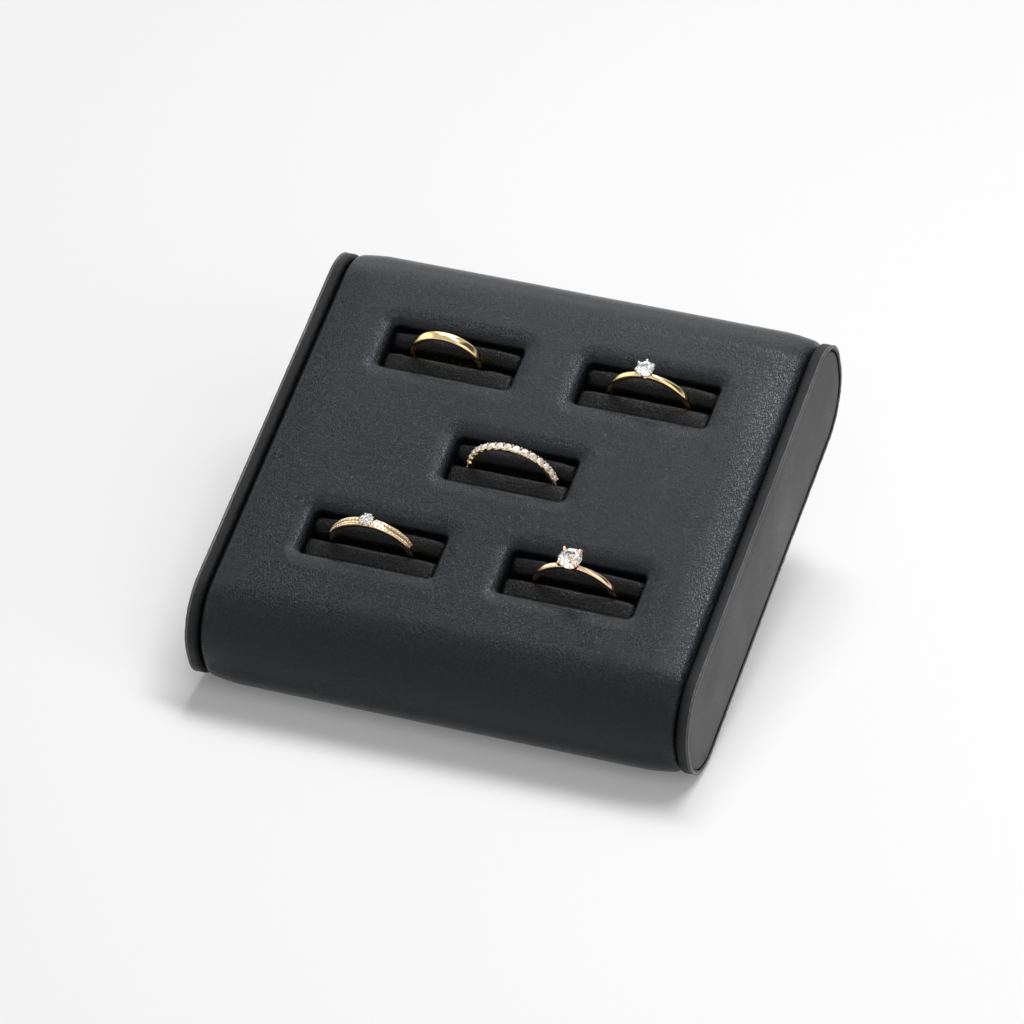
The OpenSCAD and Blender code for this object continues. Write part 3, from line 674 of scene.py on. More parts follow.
# ---- End caps ----
# A board at each end is edged with a matt band of leather, turned in on both sides. A thin leather
# piping is glued along its outer rim, and a smooth panel fills the face and leaves a seam round it.
cap_inset = 1 * mm
cap_radius = nose_radius - cap_inset
cap_steps = 24
cap_cut = 0.9 * mm
bead_cut = 0.3 * mm
wrap_leather = 0.42 * mm
wrap_round = 0.9 * mm
wrap_round_steps = 5
wrap_turn_in = 5 * mm
ridge_width = 0.7 * mm
ridge_round = 0.32 * mm
ridge_steps = 4
ridge_turn = 1.0
hair = 0.001 * mm
bead_reach = 1.3 * mm
bead_sink = 0.4 * mm
crinkle_height = 0.09 * mm
crinkle_size = 1.4 * mm
seam_more = 0.28 * mm
seam_above = 0.5 * mm
piping_radius = 0.42 * mm
piping_sides = 12
# Painted light on the cap's band: where the groove's painted shade starts to give way, where the painted
# light grey is full, and that grey.
groove_shade_reach = 2.6 * mm
rim_light_margin = 0.4 * mm
rim_light_grey = (0.034, 0.035, 0.037, 1)
panel_cut = 4 * mm
panel_round = 0.25 * mm
panel_round_steps = 3
panel_dome = 0.15 * mm
panel_ripple = 0.03 * mm
panel_ripple_size = 9 * mm


def stretched_ring(half, corner_radius, tube_radius, sides, steps):
    """A round tube that runs round the end of a bar. The corner of its middle line is at half."""
    bm = bmesh.new()
    section = bmesh.ops.create_circle(bm, segments=sides, radius=tube_radius,
                                      matrix=Matrix.Rotation(math.pi / (4 * steps), 4, "X")
                                      @ Matrix.Translation((0, corner_radius, 0)))["verts"]
    bmesh.ops.spin(bm, geom=section + edges_of(section), cent=(0, 0, 0), axis=(1, 0, 0),
                   angle=2 * math.pi, steps=4 * steps, use_merge=True)
    for v in bm.verts:
        v.co.y += math.copysign(half.y - corner_radius, v.co.y)
        v.co.z += math.copysign(half.z - corner_radius, v.co.z)
    return bm


def edge_band(half, side, well_depth):
    """The leather round a cap's board, with a ridge round the well that the face panel fills."""
    band = rounded_bar(half, cap_radius, cap_steps)
    bevel_edges(band, largest_end(band, -side).edges[:], wrap_round, wrap_round_steps)
    open_end(band, largest_end(band, -side), wrap_turn_in)
    bmesh.ops.inset_region(band, faces=[largest_end(band, side)], thickness=ridge_width,
                           use_even_offset=True)
    well = largest_end(band, side)
    sunk = bmesh.ops.extrude_face_region(band, geom=[well])["geom"]
    bmesh.ops.translate(band, verts=[g for g in sunk if isinstance(g, bmesh.types.BMVert)],
                        vec=(-side * well_depth, 0, 0))
    if well.is_valid:
        bmesh.ops.delete(band, geom=[well], context="FACES_ONLY")
    open_end(band, next(g for g in sunk if isinstance(g, bmesh.types.BMFace)), wrap_turn_in)
    band.normal_update()
    ridge_edges = [e for e in band.edges if all(v.co.x * side > half.x - hair for v in e.verts)
                   and e.calc_face_angle(0) > ridge_turn]
    bevel_edges(band, ridge_edges, ridge_round, ridge_steps)
    cut_across(band, Vector((1, 0, 0)), bead_cut, half.x)
    cut_across(band, Vector((0, 1, 0)), cap_cut, half.y)
    cut_across(band, Vector((0, 0, 1)), cap_cut, half.z)
    bmesh.ops.recalc_face_normals(band, faces=band.faces)
    core = half - Vector((0, cap_radius, cap_radius))
    for v in band.verts:
        out = out_of_core(v.co, core)
        if out.length > cap_radius - ridge_width / 2:
            near_face = max(0, 1 - (half.x - v.co.x * side) / bead_reach)
            v.co -= out.normalized() * bead_sink * near_face ** 2
    return band


def rim_piping(half, side, middle):
    """The piping along a cap's outer rim, crinkled where the leather is drawn round the bends."""
    piping = stretched_ring(half - Vector((0, piping_radius, piping_radius)),
                            cap_radius - piping_radius, piping_radius, piping_sides, cap_steps)
    cut_across(piping, Vector((0, 1, 0)), cap_cut, half.y)
    piping.normal_update()
    for v in piping.verts:
        v.co += v.normal * crinkle_height * noise.noise((v.co + middle) / crinkle_size)
    rim = Vector((side * (half.x - piping_radius / 2), 0, 0))
    bmesh.ops.translate(piping, verts=piping.verts, vec=middle + rim)
    bmesh.ops.recalc_face_normals(piping, faces=piping.faces)
    return piping


def face_panel(half, side, middle, radius):
    """The smooth panel in a cap's face, domed a little and never quite even."""
    panel = rounded_bar(half, radius, cap_steps)
    bevel_edges(panel, largest_end(panel, side).edges[:], panel_round, panel_round_steps)
    cut_across(panel, Vector((0, 1, 0)), panel_cut, half.y)
    cut_across(panel, Vector((0, 0, 1)), panel_cut, half.z)
    for v in panel.verts:
        if v.co.x * side > 0:
            rise = (1 - (v.co.y / half.y) ** 2) * (1 - (v.co.z / half.z) ** 2)
            ripple = panel_ripple * noise.noise((v.co + middle) / panel_ripple_size)
            v.co.x += side * (panel_dome * math.sqrt(max(0, rise)) + ripple)
    bmesh.ops.translate(panel, verts=panel.verts, vec=middle)
    return panel


def from_middle(tree, place):
    """How far a point lies from the slab's middle, sideways."""
    parts = add_node(tree, "ShaderNodeSeparateXYZ", None, {0: place}).outputs
    return math_node(tree, "ABSOLUTE", parts["X"])


# The band's leather is darker than the cover's, as painted shade of the groove.
edge_leather = leather("edge_leather", light=(0.004, 0.0042, 0.0048, 1), dark=(0.0025, 0.0027, 0.003, 1),
                       cell=0.5 * mm, depth=0.08 * mm, gloss=(0.34, 0.44), Specular_IOR_Level=0.13)
# The band's colour is painted: dark as painted shade of the groove next to the body, it turns a painted
# light grey towards its rim.
cap_outside = own_box("right_end_wrap")[1].x
tree = edge_leather.node_tree
shader = tree.nodes["Principled BSDF"]
sideways = from_middle(tree, add_node(tree, "ShaderNodeTexCoord").outputs["Object"])
rub_and_rim_light = two_tones(tree, sideways, cap_outside - groove_shade_reach, cap_outside - rim_light_margin,
                   shader.inputs["Base Color"].links[0].from_socket, rim_light_grey)
tree.links.new(rub_and_rim_light, shader.inputs["Base Color"])
# The piping's leather is coloured light grey, far lighter than the band and the cover, as a painted
# highlight along the cap's rim.
piping_highlight_leather = leather("piping_highlight_leather", light=(0.17, 0.17, 0.175, 1), dark=(0.08, 0.08, 0.084, 1),
                         cell=0.5 * mm, depth=0.09 * mm, gloss=(0.26, 0.36), Specular_IOR_Level=0.45)
face_leather = leather("smooth_leather", light=(0.062, 0.062, 0.064, 1), dark=(0.046, 0.046, 0.048, 1),
                       cell=0.45 * mm, depth=0.03 * mm, gloss=(0.46, 0.58), Specular_IOR_Level=0.4)

for end, side in (("left", -1), ("right", 1)):
    low, high = own_box(f"{end}_end_wrap")
    middle, half = (low + high) / 2, (high - low) / 2
    board_face = max(own_box(f"{end}_end_board"), key=lambda c: abs(c.x)).x * side
    band = edge_band(half, side, middle.x * side + half.x - board_face - wrap_leather)
    bmesh.ops.translate(band, verts=band.verts, vec=middle)
    band = add_piece(band, f"{end}_cap_edge", edge_leather, "slab", [f"{end}_end_wrap"])
    add_wall(band, wrap_leather)
    add_piece(rim_piping(half, side, middle), f"{end}_cap_piping", piping_highlight_leather, "slab")

    panel_low, panel_high = own_box(f"{end}_end_panel")
    panel_half = (panel_high - panel_low) / 2 - Vector((wrap_leather / 2, seam_more, seam_above / 2))
    panel_middle = (panel_low + panel_high) / 2 + Vector((side * wrap_leather / 2, 0, -seam_above / 2))
    panel = face_panel(panel_half, side, panel_middle, cap_radius - (half.z - panel_half.z))
    add_piece(panel, f"{end}_cap_face", face_leather, "slab", [f"{end}_end_panel"])

# ---- Boards and rails ----
# The body is a glued frame of bare fibreboard: a top and a bottom board, two side boards and a rounded
# rail along the nose and the back. Near the caps all are painted black as shade, where they show in the
# dark groove, and the end boards all over.
groove_shade_start = cover_corner.x - 12 * mm
groove_shade_full = cover_corner.x - 10 * mm
groove_shade_black = (0.006, 0.006, 0.006, 1)
chip_depth = 0.06 * mm


def dress(material, *nodes):
    """Gives CAD nodes that keep their own shape a finished material."""
    for node in nodes:
        for slot in frame["nodes"][node].material_slots:
            slot.material = material


fibreboard, tree, shader, place = new_material("fibreboard", Specular_IOR_Level=0.25)
chips = mottle(tree, place, 900.0, 5.0, 0.7)
tone = two_tones(tree, mottle(tree, place, 60.0, 3.0), 0.35, 0.65,
                 (0.27, 0.17, 0.085, 1), (0.36, 0.24, 0.13, 1))
tone = blend_colours(tree, remap(tree, chips, 0.5, 0.75, 0.0, 0.7), tone, (0.14, 0.08, 0.04, 1))
# Painted shade: the boards turn black towards the caps, where they show in the groove.
tone = two_tones(tree, from_middle(tree, place), groove_shade_start, groove_shade_full, tone, groove_shade_black)
feed(tree, shader, chips, chip_depth, Base_Color=tone, Roughness=remap(tree, chips, 0.3, 0.7, 0.8, 0.95))
dress(fibreboard, "top_board", "bottom_board", "front_rail", "back_rail", "left_side_board",
      "right_side_board", "left_end_board", "right_end_board")

# ---- Base panel, lining and slot trays ----
# A card panel closes the window underneath and holds the turned-in leather. A black felt lining is glued
# over it, and a felt strip under the nose. Each slot has a tray of black card below the top board.
pulp_turn = 0.6
pulp_depth = 0.03 * mm
felt_depth = 0.18 * mm
tuft_share = 0.6

black_card, tree, shader, place = new_material("black_card", Specular_IOR_Level=0.3)
laid = add_node(tree, "ShaderNodeMapping", None, {
    "Vector": place, "Rotation": (0, 0, pulp_turn), "Scale": (1, 5, 1)}).outputs[0]
pulp = mottle(tree, laid, 420.0, 5.0, 0.65)
feed(tree, shader, pulp, pulp_depth, Roughness=remap(tree, pulp, 0.3, 0.7, 0.7, 0.85),
     Base_Color=two_tones(tree, pulp, 0.4, 0.7, (0.016, 0.016, 0.018, 1), (0.028, 0.028, 0.03, 1)))
dress(black_card, "base_panel", *[f"slot_tray_{number}" for number in slot_numbers])

black_felt, tree, shader, place = new_material("black_felt", Specular_IOR_Level=0.1, Sheen_Weight=0.35,
                                               Sheen_Roughness=0.6)
fibres = mottle(tree, place, 1500.0, 4.0, 0.75, 1.5)
tufts = mottle(tree, place, 240.0, 3.0)
feed(tree, shader, math_node(tree, "MULTIPLY_ADD", tufts, tuft_share, fibres), felt_depth,
     Roughness=remap(tree, fibres, 0.3, 0.7, 0.9, 1.0),
     Base_Color=two_tones(tree, fibres, 0.35, 0.7, (0.008, 0.008, 0.009, 1), (0.026, 0.026, 0.028, 1)))
dress(black_felt, "base_lining", "front_felt")

# ---- Butt hinge ----
# Two pressed leaves of brushed nickel-plated steel turn on a pin. Four countersunk screws hold each leaf,
# the fixed one to the slab and the moving one to the leg.
scratch_depth = 0.004 * mm
scratch_share = 0.5
dull_rough = 0.16


def brushed(name, light, dark, rough, along):
    """Brushed metal whose fine scratches run along one axis."""
    made, tree, shader, place = new_material(name, Metallic=1.0)
    drawn = add_node(tree, "ShaderNodeMapping", None, {"Vector": place, "Scale": along}).outputs[0]
    scratches = mottle(tree, drawn, 1800.0, 5.0, 0.7)
    rub_and_rim_light = math_node(tree, "MULTIPLY_ADD", mottle(tree, place, 130.0, 3.0), 1 - scratch_share,
                       math_node(tree, "MULTIPLY", scratches, scratch_share))
    feed(tree, shader, scratches, scratch_depth,
         Base_Color=two_tones(tree, rub_and_rim_light, 0.35, 0.65, light, dark),
         Roughness=remap(tree, rub_and_rim_light, 0.3, 0.7, rough, rough + dull_rough))
    return made


leaf_steel = brushed("nickel_steel", (0.62, 0.61, 0.58, 1), (0.46, 0.45, 0.43, 1), 0.24, (0.05, 1, 1))
pin_steel = brushed("bright_steel", (0.6, 0.6, 0.6, 1), (0.48, 0.48, 0.48, 1), 0.18, (1, 0.05, 0.05))
screw_steel = brushed("zinc_steel", (0.6, 0.61, 0.63, 1), (0.42, 0.43, 0.45, 1), 0.28, (1, 1, 1))
dress(leaf_steel, "hinge_fixed_leaf", "hinge_moving_leaf")
dress(pin_steel, "hinge_pin")
dress(screw_steel, "hinge_screws", "leg_screws")

# ---- Folding leg ----
# A fibreboard leg folds flat under the slab. A leather sleeve is glued round it and stitched near its
# edges with waxed thread, and a moulded rubber foot stands on the table.
leg_lean = math.radians(8)
sleeve_weld = 0.002 * mm
sleeve_flat = math.radians(1)
sleeve_corner = math.radians(30)
sleeve_shortest = 1.2 * mm
sleeve_round = 0.35 * mm
sleeve_round_steps = 3
sleeve_crease = 35
stitch_inset = 2.5 * mm
stitch_length = 2.2 * mm
stitch_gap = 0.9 * mm
stitch_thick = 0.42 * mm
thread_depth = 0.03 * mm
bloom_depth = 0.02 * mm

dress(fibreboard, "leg_board")
leg_hinge = next(joint for joint in frame["joints"] if joint["name"] == "leg_fold")
on_leg = Matrix.Translation(Vector(leg_hinge["pos_m"])) @ Matrix.Rotation(leg_lean, 4, "X")

sleeve = bmesh.new()
sleeve.from_mesh(frame["nodes"]["leg_sleeve"].data)
bmesh.ops.remove_doubles(sleeve, verts=sleeve.verts, dist=sleeve_weld)
bmesh.ops.dissolve_limit(sleeve, angle_limit=sleeve_flat, verts=sleeve.verts, edges=sleeve.edges)
bmesh.ops.transform(sleeve, matrix=on_leg.inverted(), verts=sleeve.verts)
sleeve.normal_update()
corners = [e for e in sleeve.edges if e.is_manifold and e.calc_face_angle(0) > sleeve_corner
           and e.is_convex and e.calc_length() > sleeve_shortest]
bevel_edges(sleeve, corners, sleeve_round, sleeve_round_steps)
sleeve_leather = leather(
    "sleeve_leather", light=(0.0075, 0.0085, 0.0105, 1), dark=(0.0055, 0.0062, 0.0078, 1),
    cell=0.62 * mm, depth=0.06 * mm, gloss=(0.24, 0.32), Specular_IOR_Level=0.3)
sleeve = add_piece(sleeve, "leg_leather", sleeve_leather, "leg", ["leg_sleeve"],
                   on_leg, sleeve_crease)

thread, tree, shader, place = new_material("waxed_thread", Specular_IOR_Level=0.45)
twist = add_node(tree, "ShaderNodeTexWave", {"bands_direction": "DIAGONAL"}, {
    "Vector": place, "Scale": 900.0, "Distortion": 1.0}).outputs["Fac"]
feed(tree, shader, twist, thread_depth, Roughness=remap(tree, twist, 0.0, 1.0, 0.65, 0.45),
     Base_Color=blend_colours(tree, twist, (0.012, 0.012, 0.013, 1), (0.035, 0.035, 0.038, 1)))
sleeve_low, sleeve_high = own_box("leg_sleeve", on_leg)
row_x = sleeve_high.x - stitch_inset
row_low = sleeve_low.z + 2 * stitch_inset
row_high = sleeve_high.z - 1.5 * stitch_inset
rows = []
for face in (sleeve_low.y, sleeve_high.y):
    for x in (-row_x, row_x):
        rows.append((Vector((x, face, row_low)), Vector((x, face, row_high))))
    rows.append((Vector((-row_x, face, row_low)), Vector((row_x, face, row_low))))
stitches = bmesh.new()
for start, end in rows:
    along = end - start
    count = max(1, round(along.length / (stitch_length + stitch_gap)))
    turn = along.to_track_quat("X", "Y").to_matrix().to_4x4()
    size = Matrix.Diagonal((stitch_length / 2, stitch_thick / 2, stitch_thick / 2, 1))
    for k in range(count):
        spot = Matrix.Translation(start + along * ((k + 0.5) / count))
        bmesh.ops.create_uvsphere(stitches, u_segments=8, v_segments=6, radius=1,
                                  matrix=spot @ turn @ size @ Matrix.Rotation(math.pi / 2, 4, "Y"))
add_piece(stitches, "leg_stitches", thread, "leg", place=on_leg)

foot_rubber, tree, shader, place = new_material("foot_rubber", Specular_IOR_Level=0.3)
bloom = mottle(tree, place, 700.0, 4.0)
feed(tree, shader, bloom, bloom_depth, Roughness=remap(tree, bloom, 0.3, 0.7, 0.72, 0.88),
     Base_Color=two_tones(tree, bloom, 0.4, 0.7, (0.010, 0.010, 0.010, 1), (0.018, 0.018, 0.019, 1)))
dress(foot_rubber, "leg_foot")

# ---- Precious metals and stones ----
# The metals are polished to a mirror with the faint waves and hairlines that a buff leaves.
# The stones are round brilliants, cut flat facet by flat facet.
section_steps = 28
band_steps = 160
inner_curve = 0.35
ridge_half = 0.5 * mm
wire_steps = 10
claw_rail_steps = 36
buff_scale = 900.0
buff_wave = 0.004 * mm
mirror_rough = 0.05
hairline_rough = 0.13
spark_depth = 0.04 * mm
facet_crease = 1
# A brilliant's corners, as shares of its radius: how far out they lie, and how high or deep.
table_out, star_out, lower_out = 0.56, 0.78, 0.28
crown_high, girdle_high, point_deep = 0.36, 0.05, 0.84

rub, given, put = make_group("buffing", {
    "Vector": ("NodeSocketVector", None), "Scale": ("NodeSocketFloat", buff_scale)},
    {"Wave": "NodeSocketFloat", "Hairline": "NodeSocketFloat"})
rub.links.new(mottle(rub, given["Vector"], given["Scale"], 1.0), put["Wave"])
stretched = add_node(rub, "ShaderNodeMapping", None, {
    "Vector": given["Vector"], "Scale": (1, 14, 1)}).outputs[0]
hairlines = mottle(rub, stretched, given["Scale"], 5.0, 0.7)
rub.links.new(remap(rub, hairlines, 0.45, 0.75), put["Hairline"])


def polished(name, light, deep):
    """Polished precious metal: a shade deeper and duller along its hairlines."""
    made, tree, shader, place = new_material(name, Metallic=1.0)
    buff = use_group(tree, rub, {"Vector": place, "Scale": buff_scale})
    feed(tree, shader, buff["Wave"], buff_wave,
         Base_Color=blend_colours(tree, buff["Hairline"], light, deep),
         Roughness=remap(tree, buff["Hairline"], 0.0, 1.0, mirror_rough, hairline_rough))
    return made


yellow_gold = polished("yellow_gold", (0.95, 0.72, 0.39, 1), (0.84, 0.58, 0.27, 1))
pale_gold = polished("pale_gold", (0.94, 0.74, 0.47, 1), (0.84, 0.61, 0.35, 1))
rose_gold = polished("rose_gold", (0.94, 0.70, 0.48, 1), (0.82, 0.56, 0.35, 1))
white_gold = polished("white_gold", (0.9, 0.87, 0.83, 1), (0.78, 0.75, 0.71, 1))

diamond, tree, shader, place = new_material("diamond", IOR=2.42, Transmission_Weight=1.0)
dust = mottle(tree, place, 2500.0, 2.0)
feed(tree, shader, Roughness=remap(tree, dust, 0.5, 0.8, 0.0, 0.04),
     Base_Color=blend_colours(tree, dust, (1, 1, 1, 1), (0.97, 0.98, 1.0, 1)))

# The half-eternity band's small stones are painted as white sparks: a painted glint on one facet and
# painted warm shade on the next.
melee, tree, shader, place = new_material("melee_diamond", Metallic=0.35, Specular_IOR_Level=0.9)
glint_cells = add_node(tree, "ShaderNodeTexVoronoi", {"feature": "F1"}, {
    "Vector": place, "Scale": 4200.0, "Randomness": 1.0}).outputs["Color"]
painted_glint = add_node(tree, "ShaderNodeSeparateColor", None, {0: glint_cells}).outputs[0]
feed(tree, shader, painted_glint, spark_depth, Roughness=remap(tree, painted_glint, 0.2, 0.8, 0.08, 0.25),
     Base_Color=two_tones(tree, painted_glint, 0.2, 0.55, (0.55, 0.47, 0.37, 1), (0.98, 0.93, 0.84, 1)))


def spun_band(radius, width, thick, crown=0.75, square=0.6):
    """A band spun round the finger's axis, crowned outside and softly rounded inside."""
    bm = bmesh.new()
    section = bmesh.ops.create_circle(bm, segments=section_steps, radius=1)["verts"]
    for v in section:
        across, out = v.co.x, v.co.y
        half = math.copysign(abs(out) ** (crown if out > 0 else inner_curve), out)
        v.co = (0, math.copysign(abs(across) ** square, across) * width / 2,
                radius - thick / 2 + half * thick / 2)
    bmesh.ops.spin(bm, geom=bm.verts[:] + bm.edges[:], cent=(0, 0, 0), axis=(0, 1, 0),
                   angle=2 * math.pi, steps=band_steps, use_merge=True)
    bmesh.ops.recalc_face_normals(bm, faces=bm.faces)
    return bm


def from_top(place):
    """Angle of a point of a ring from its top, in degrees."""
    return math.degrees(abs(math.atan2(place.x, place.z)))


def narrow_to_top(bm, top_width, start, end, ridge, radius, thick):
    """Tapers a band's width towards the top, from one angle to another, and raises a ridge on it."""
    for v in bm.verts:
        near = ease(1 - min(1, max(0, (from_top(v.co) - start) / (end - start))))
        v.co.y *= 1 + (top_width - 1) * near
        out = math.hypot(v.co.x, v.co.z)
        if out > radius - thick / 2:
            rise = ridge * near * (1 - min(1, abs(v.co.y) / ridge_half))
            v.co.x *= (out + rise) / out
            v.co.z *= (out + rise) / out


def wire(bm, path, radii):
    """A round wire in the x and z plane through points, with a radius at each. Gives its vertices."""
    loops = []
    made = []
    for k, point in enumerate(path):
        along = (path[min(k + 1, len(path) - 1)] - path[max(k - 1, 0)]).normalized()
        turn = along.to_track_quat("Z", "Y").to_matrix().to_4x4()
        verts = bmesh.ops.create_circle(bm, segments=wire_steps, radius=radii[k],
                                        matrix=Matrix.Translation(point) @ turn)["verts"]
        loops.append(edges_of(verts))
        made += verts
    bridge(bm, loops)
    for loop in (loops[0], loops[-1]):
        bmesh.ops.holes_fill(bm, edges=loop, sides=wire_steps)
    return made


def ball(bm, place, radius):
    """A small round bead of metal. Gives its vertices."""
    return bmesh.ops.create_uvsphere(bm, u_segments=12, v_segments=8, radius=radius,
                                     matrix=Matrix.Translation(place))["verts"]


def brilliant(bm, radius, place=Matrix(), full=True):
    """A round brilliant, its girdle at z = 0, as the hull of its corners. A small one has fewer facets."""
    lean = math.cos(math.pi / 8)
    star_high = crown_high - (star_out * lean - table_out) / (1 - table_out) * (crown_high - girdle_high)
    lower_deep = point_deep * (1 - lower_out * lean)
    rings = [(8, 0, table_out, crown_high), (16, 0, 1, girdle_high), (16, 0, 1, 0)]
    if full:
        rings += [(8, 0.5, star_out, star_high), (8, 0.5, lower_out, -lower_deep)]
    corners = [bmesh.ops.create_vert(bm, co=(0, 0, -point_deep * radius))["vert"][0]]
    for count, half_step, out, up in rings:
        for k in range(count):
            turn = 2 * math.pi * (k + half_step) / count
            corners += bmesh.ops.create_vert(bm, co=(
                out * radius * math.cos(turn), out * radius * math.sin(turn), up * radius))["vert"]
    bmesh.ops.convex_hull(bm, input=corners, use_existing_faces=False)
    bmesh.ops.transform(bm, matrix=place, verts=corners)


def above(out):
    """The place at a distance straight above a ring's middle."""
    return Matrix.Translation((0, 0, out))


def round_ring(angle, out):
    """A place on a ring at an angle in degrees from its top, z outwards."""
    return Matrix.Rotation(math.radians(angle), 4, "Y") @ above(out)


def claw_head(radius, stone, seat, count, claw, foot, turn):
    """A head of claws that rise from a foot, bow out round the stone and hook over its girdle."""
    bm = bmesh.new()
    top = radius + seat
    rail_out = 0.5 * (foot + stone)
    rail_up = radius + 0.52 * seat
    path = [Vector(p) for p in (
        (0.75 * foot, 0, radius - 0.3 * mm),
        (foot, 0, radius + 0.22 * seat),
        (rail_out, 0, rail_up),
        (stone + 0.2 * claw, 0, radius + 0.86 * seat),
        (stone + 0.75 * claw, 0, top + 0.12 * stone),
        (stone + 0.35 * claw, 0, top + 0.27 * stone),
        (stone - 0.6 * claw, 0, top + 0.33 * stone))]
    radii = [claw * share for share in (1, 0.95, 0.9, 0.95, 1, 1, 0.9)]
    for k in range(count):
        made = wire(bm, path, radii) + ball(bm, path[-1], 1.2 * claw)
        bmesh.ops.rotate(bm, verts=made, matrix=Matrix.Rotation(turn + 2 * math.pi * k / count, 3, "Z"))
    rail = bmesh.ops.create_circle(bm, segments=8, radius=0.7 * claw,
                                   matrix=Matrix.Translation((rail_out, 0, rail_up))
                                   @ Matrix.Rotation(math.pi / 2, 4, "X"))["verts"]
    bmesh.ops.spin(bm, geom=rail + edges_of(rail), cent=(0, 0, 0), axis=(0, 0, 1),
                   angle=2 * math.pi, steps=claw_rail_steps, use_merge=True)
    bmesh.ops.create_cone(bm, cap_ends=True, segments=24, radius1=0.8 * foot, radius2=1.15 * foot,
                          depth=0.34 * seat, matrix=above(radius + 0.1 * seat))
    bmesh.ops.recalc_face_normals(bm, faces=bm.faces)
    return bm


def add_to_ring(ring, middle, bm, name, material, node, crease=50):
    """Adds a piece that is drawn round a ring's middle, with z towards its head, to that ring."""
    add_piece(bm, name, material, ring, [node], on_slab @ Matrix.Translation(middle), crease)

# ---- Plain wedding band ----
# A court-shaped band of yellow gold, polished all over, pressed between the rolls of the back left slot.
plain_thick = 1.3 * mm

middle, radius, width = ring_place("plain_band")
band = spun_band(radius, width, plain_thick, crown=0.8, square=0.7)
add_to_ring("plain_ring", middle, band, "wedding_band", yellow_gold, "plain_band")

# ---- Six-claw solitaire ----
# A slim shank that narrows and comes to a soft ridge below the head, with a drop of solder under it.
# The white gold head is soldered on and holds a small brilliant in six claws.
solitaire_thick = 1.4 * mm
solitaire_ridge = 0.15 * mm
solitaire_stone = 2.1 * mm
solitaire_seat = 2.1 * mm
solitaire_claw = 0.26 * mm
solitaire_foot = 0.8 * mm
solder_drop = 0.48 * mm
solder_aside = 0.36
solder_sunk = 0.4 * mm

middle, radius, width = ring_place("solitaire_shank")
shank = spun_band(radius, width, solitaire_thick)
narrow_to_top(shank, top_width=0.78, start=6, end=60, ridge=solitaire_ridge, radius=radius,
              thick=solitaire_thick)
ball(shank, Vector((0, -solder_aside * width, radius - solder_sunk)), solder_drop)
bmesh.ops.recalc_face_normals(shank, faces=shank.faces)
add_to_ring("solitaire_ring", middle, shank, "solitaire_hoop", yellow_gold,
            "solitaire_shank")
head = claw_head(radius, solitaire_stone, solitaire_seat, 6, solitaire_claw, solitaire_foot, math.pi / 2)
add_to_ring("solitaire_ring", middle, head, "solitaire_claws", white_gold, "solitaire_head")
stone = bmesh.new()
brilliant(stone, solitaire_stone, above(radius + solitaire_seat))
add_to_ring("solitaire_ring", middle, stone, "solitaire_brilliant", diamond,
            "solitaire_stone", facet_crease)

# ---- Half-eternity band ----
# Fifteen brilliants stand in scalloped cups along the upper half of a pale gold band, and neighbours
# share small round claws. The row leaves little of the band to be seen.
eternity_thick = 1.1 * mm
eternity_count = 15
eternity_step = 11.4
eternity_stone = 1.0 * mm
eternity_table = 0.5 * mm
# Under the stones the band is narrower and lower. The change takes so many degrees at each end.
eternity_narrowing = 0.5
eternity_lowering = 0.5 * mm
eternity_fade = 8
cup_foot = 0.7
cup_rim = 0.9
cup_height = 0.75 * mm
shared_claw = 0.21 * mm
shared_claw_out = 0.72
shared_claw_up = 0.3 * mm

middle, radius, width = ring_place("eternity_band")
set_half = eternity_step * eternity_count / 2
band = spun_band(radius, width, eternity_thick)
for v in band.verts:
    beyond = from_top(v.co) - set_half + eternity_fade / 2
    set_part = 1 - min(1, max(0, beyond / eternity_fade))
    v.co.y *= 1 - eternity_narrowing * set_part
    out = math.hypot(v.co.x, v.co.z)
    if out > radius - eternity_thick / 2:
        v.co *= 1 - eternity_lowering * set_part / out
stones = bmesh.new()
cups = bmesh.new()
seat = radius + eternity_table - crown_high * eternity_stone
for k in range(eternity_count):
    angle = (k - (eternity_count - 1) / 2) * eternity_step
    brilliant(stones, eternity_stone, round_ring(angle, seat), full=False)
    bmesh.ops.create_cone(cups, cap_ends=True, segments=20, radius1=cup_foot * eternity_stone,
                          radius2=cup_rim * eternity_stone, depth=cup_height,
                          matrix=round_ring(angle, seat - cup_height / 2))
for k in range(eternity_count + 1):
    spot = round_ring((k - eternity_count / 2) * eternity_step, radius + shared_claw_up)
    for side in (-1, 1):
        ball(cups, spot @ Vector((0, side * shared_claw_out * eternity_stone, 0)), shared_claw)
bmesh.ops.recalc_face_normals(cups, faces=cups.faces)
add_to_ring("eternity_ring", middle, cups, "eternity_cups", pale_gold, "eternity_band")
add_to_ring("eternity_ring", middle, band, "eternity_hoop", pale_gold, "eternity_band")
add_to_ring("eternity_ring", middle, stones, "eternity_brilliants", melee,
            "eternity_stones", facet_crease)

# ---- Shoulder-set ring ----
# Two rows of tiny brilliants are set with beads between raised rails on each shoulder,
# up to a white gold flower of seven stones in six claws.
shoulder_thick = 1.4 * mm
shoulder_count = 12
shoulder_start = 13
shoulder_step = 4.6
shoulder_stone = 0.4 * mm
shoulder_stone_up = 0.06 * mm
shoulder_bead = 0.17 * mm
shoulder_bead_up = 0.1 * mm
rail_wire = 0.16 * mm
rail_sunk = 0.02 * mm
rail_aside = 0.46
rail_overrun = 4
rail_steps = 40
cluster_stone = 0.57 * mm
cluster_height = 0.8 * mm
cluster_claw = 0.2 * mm
cluster_foot = 1.0 * mm
petal_up = 0.2 * mm
heart_up = 0.35 * mm
heart_share = 1.1
heart_bead = 0.15 * mm
heart_bead_up = 0.42 * mm

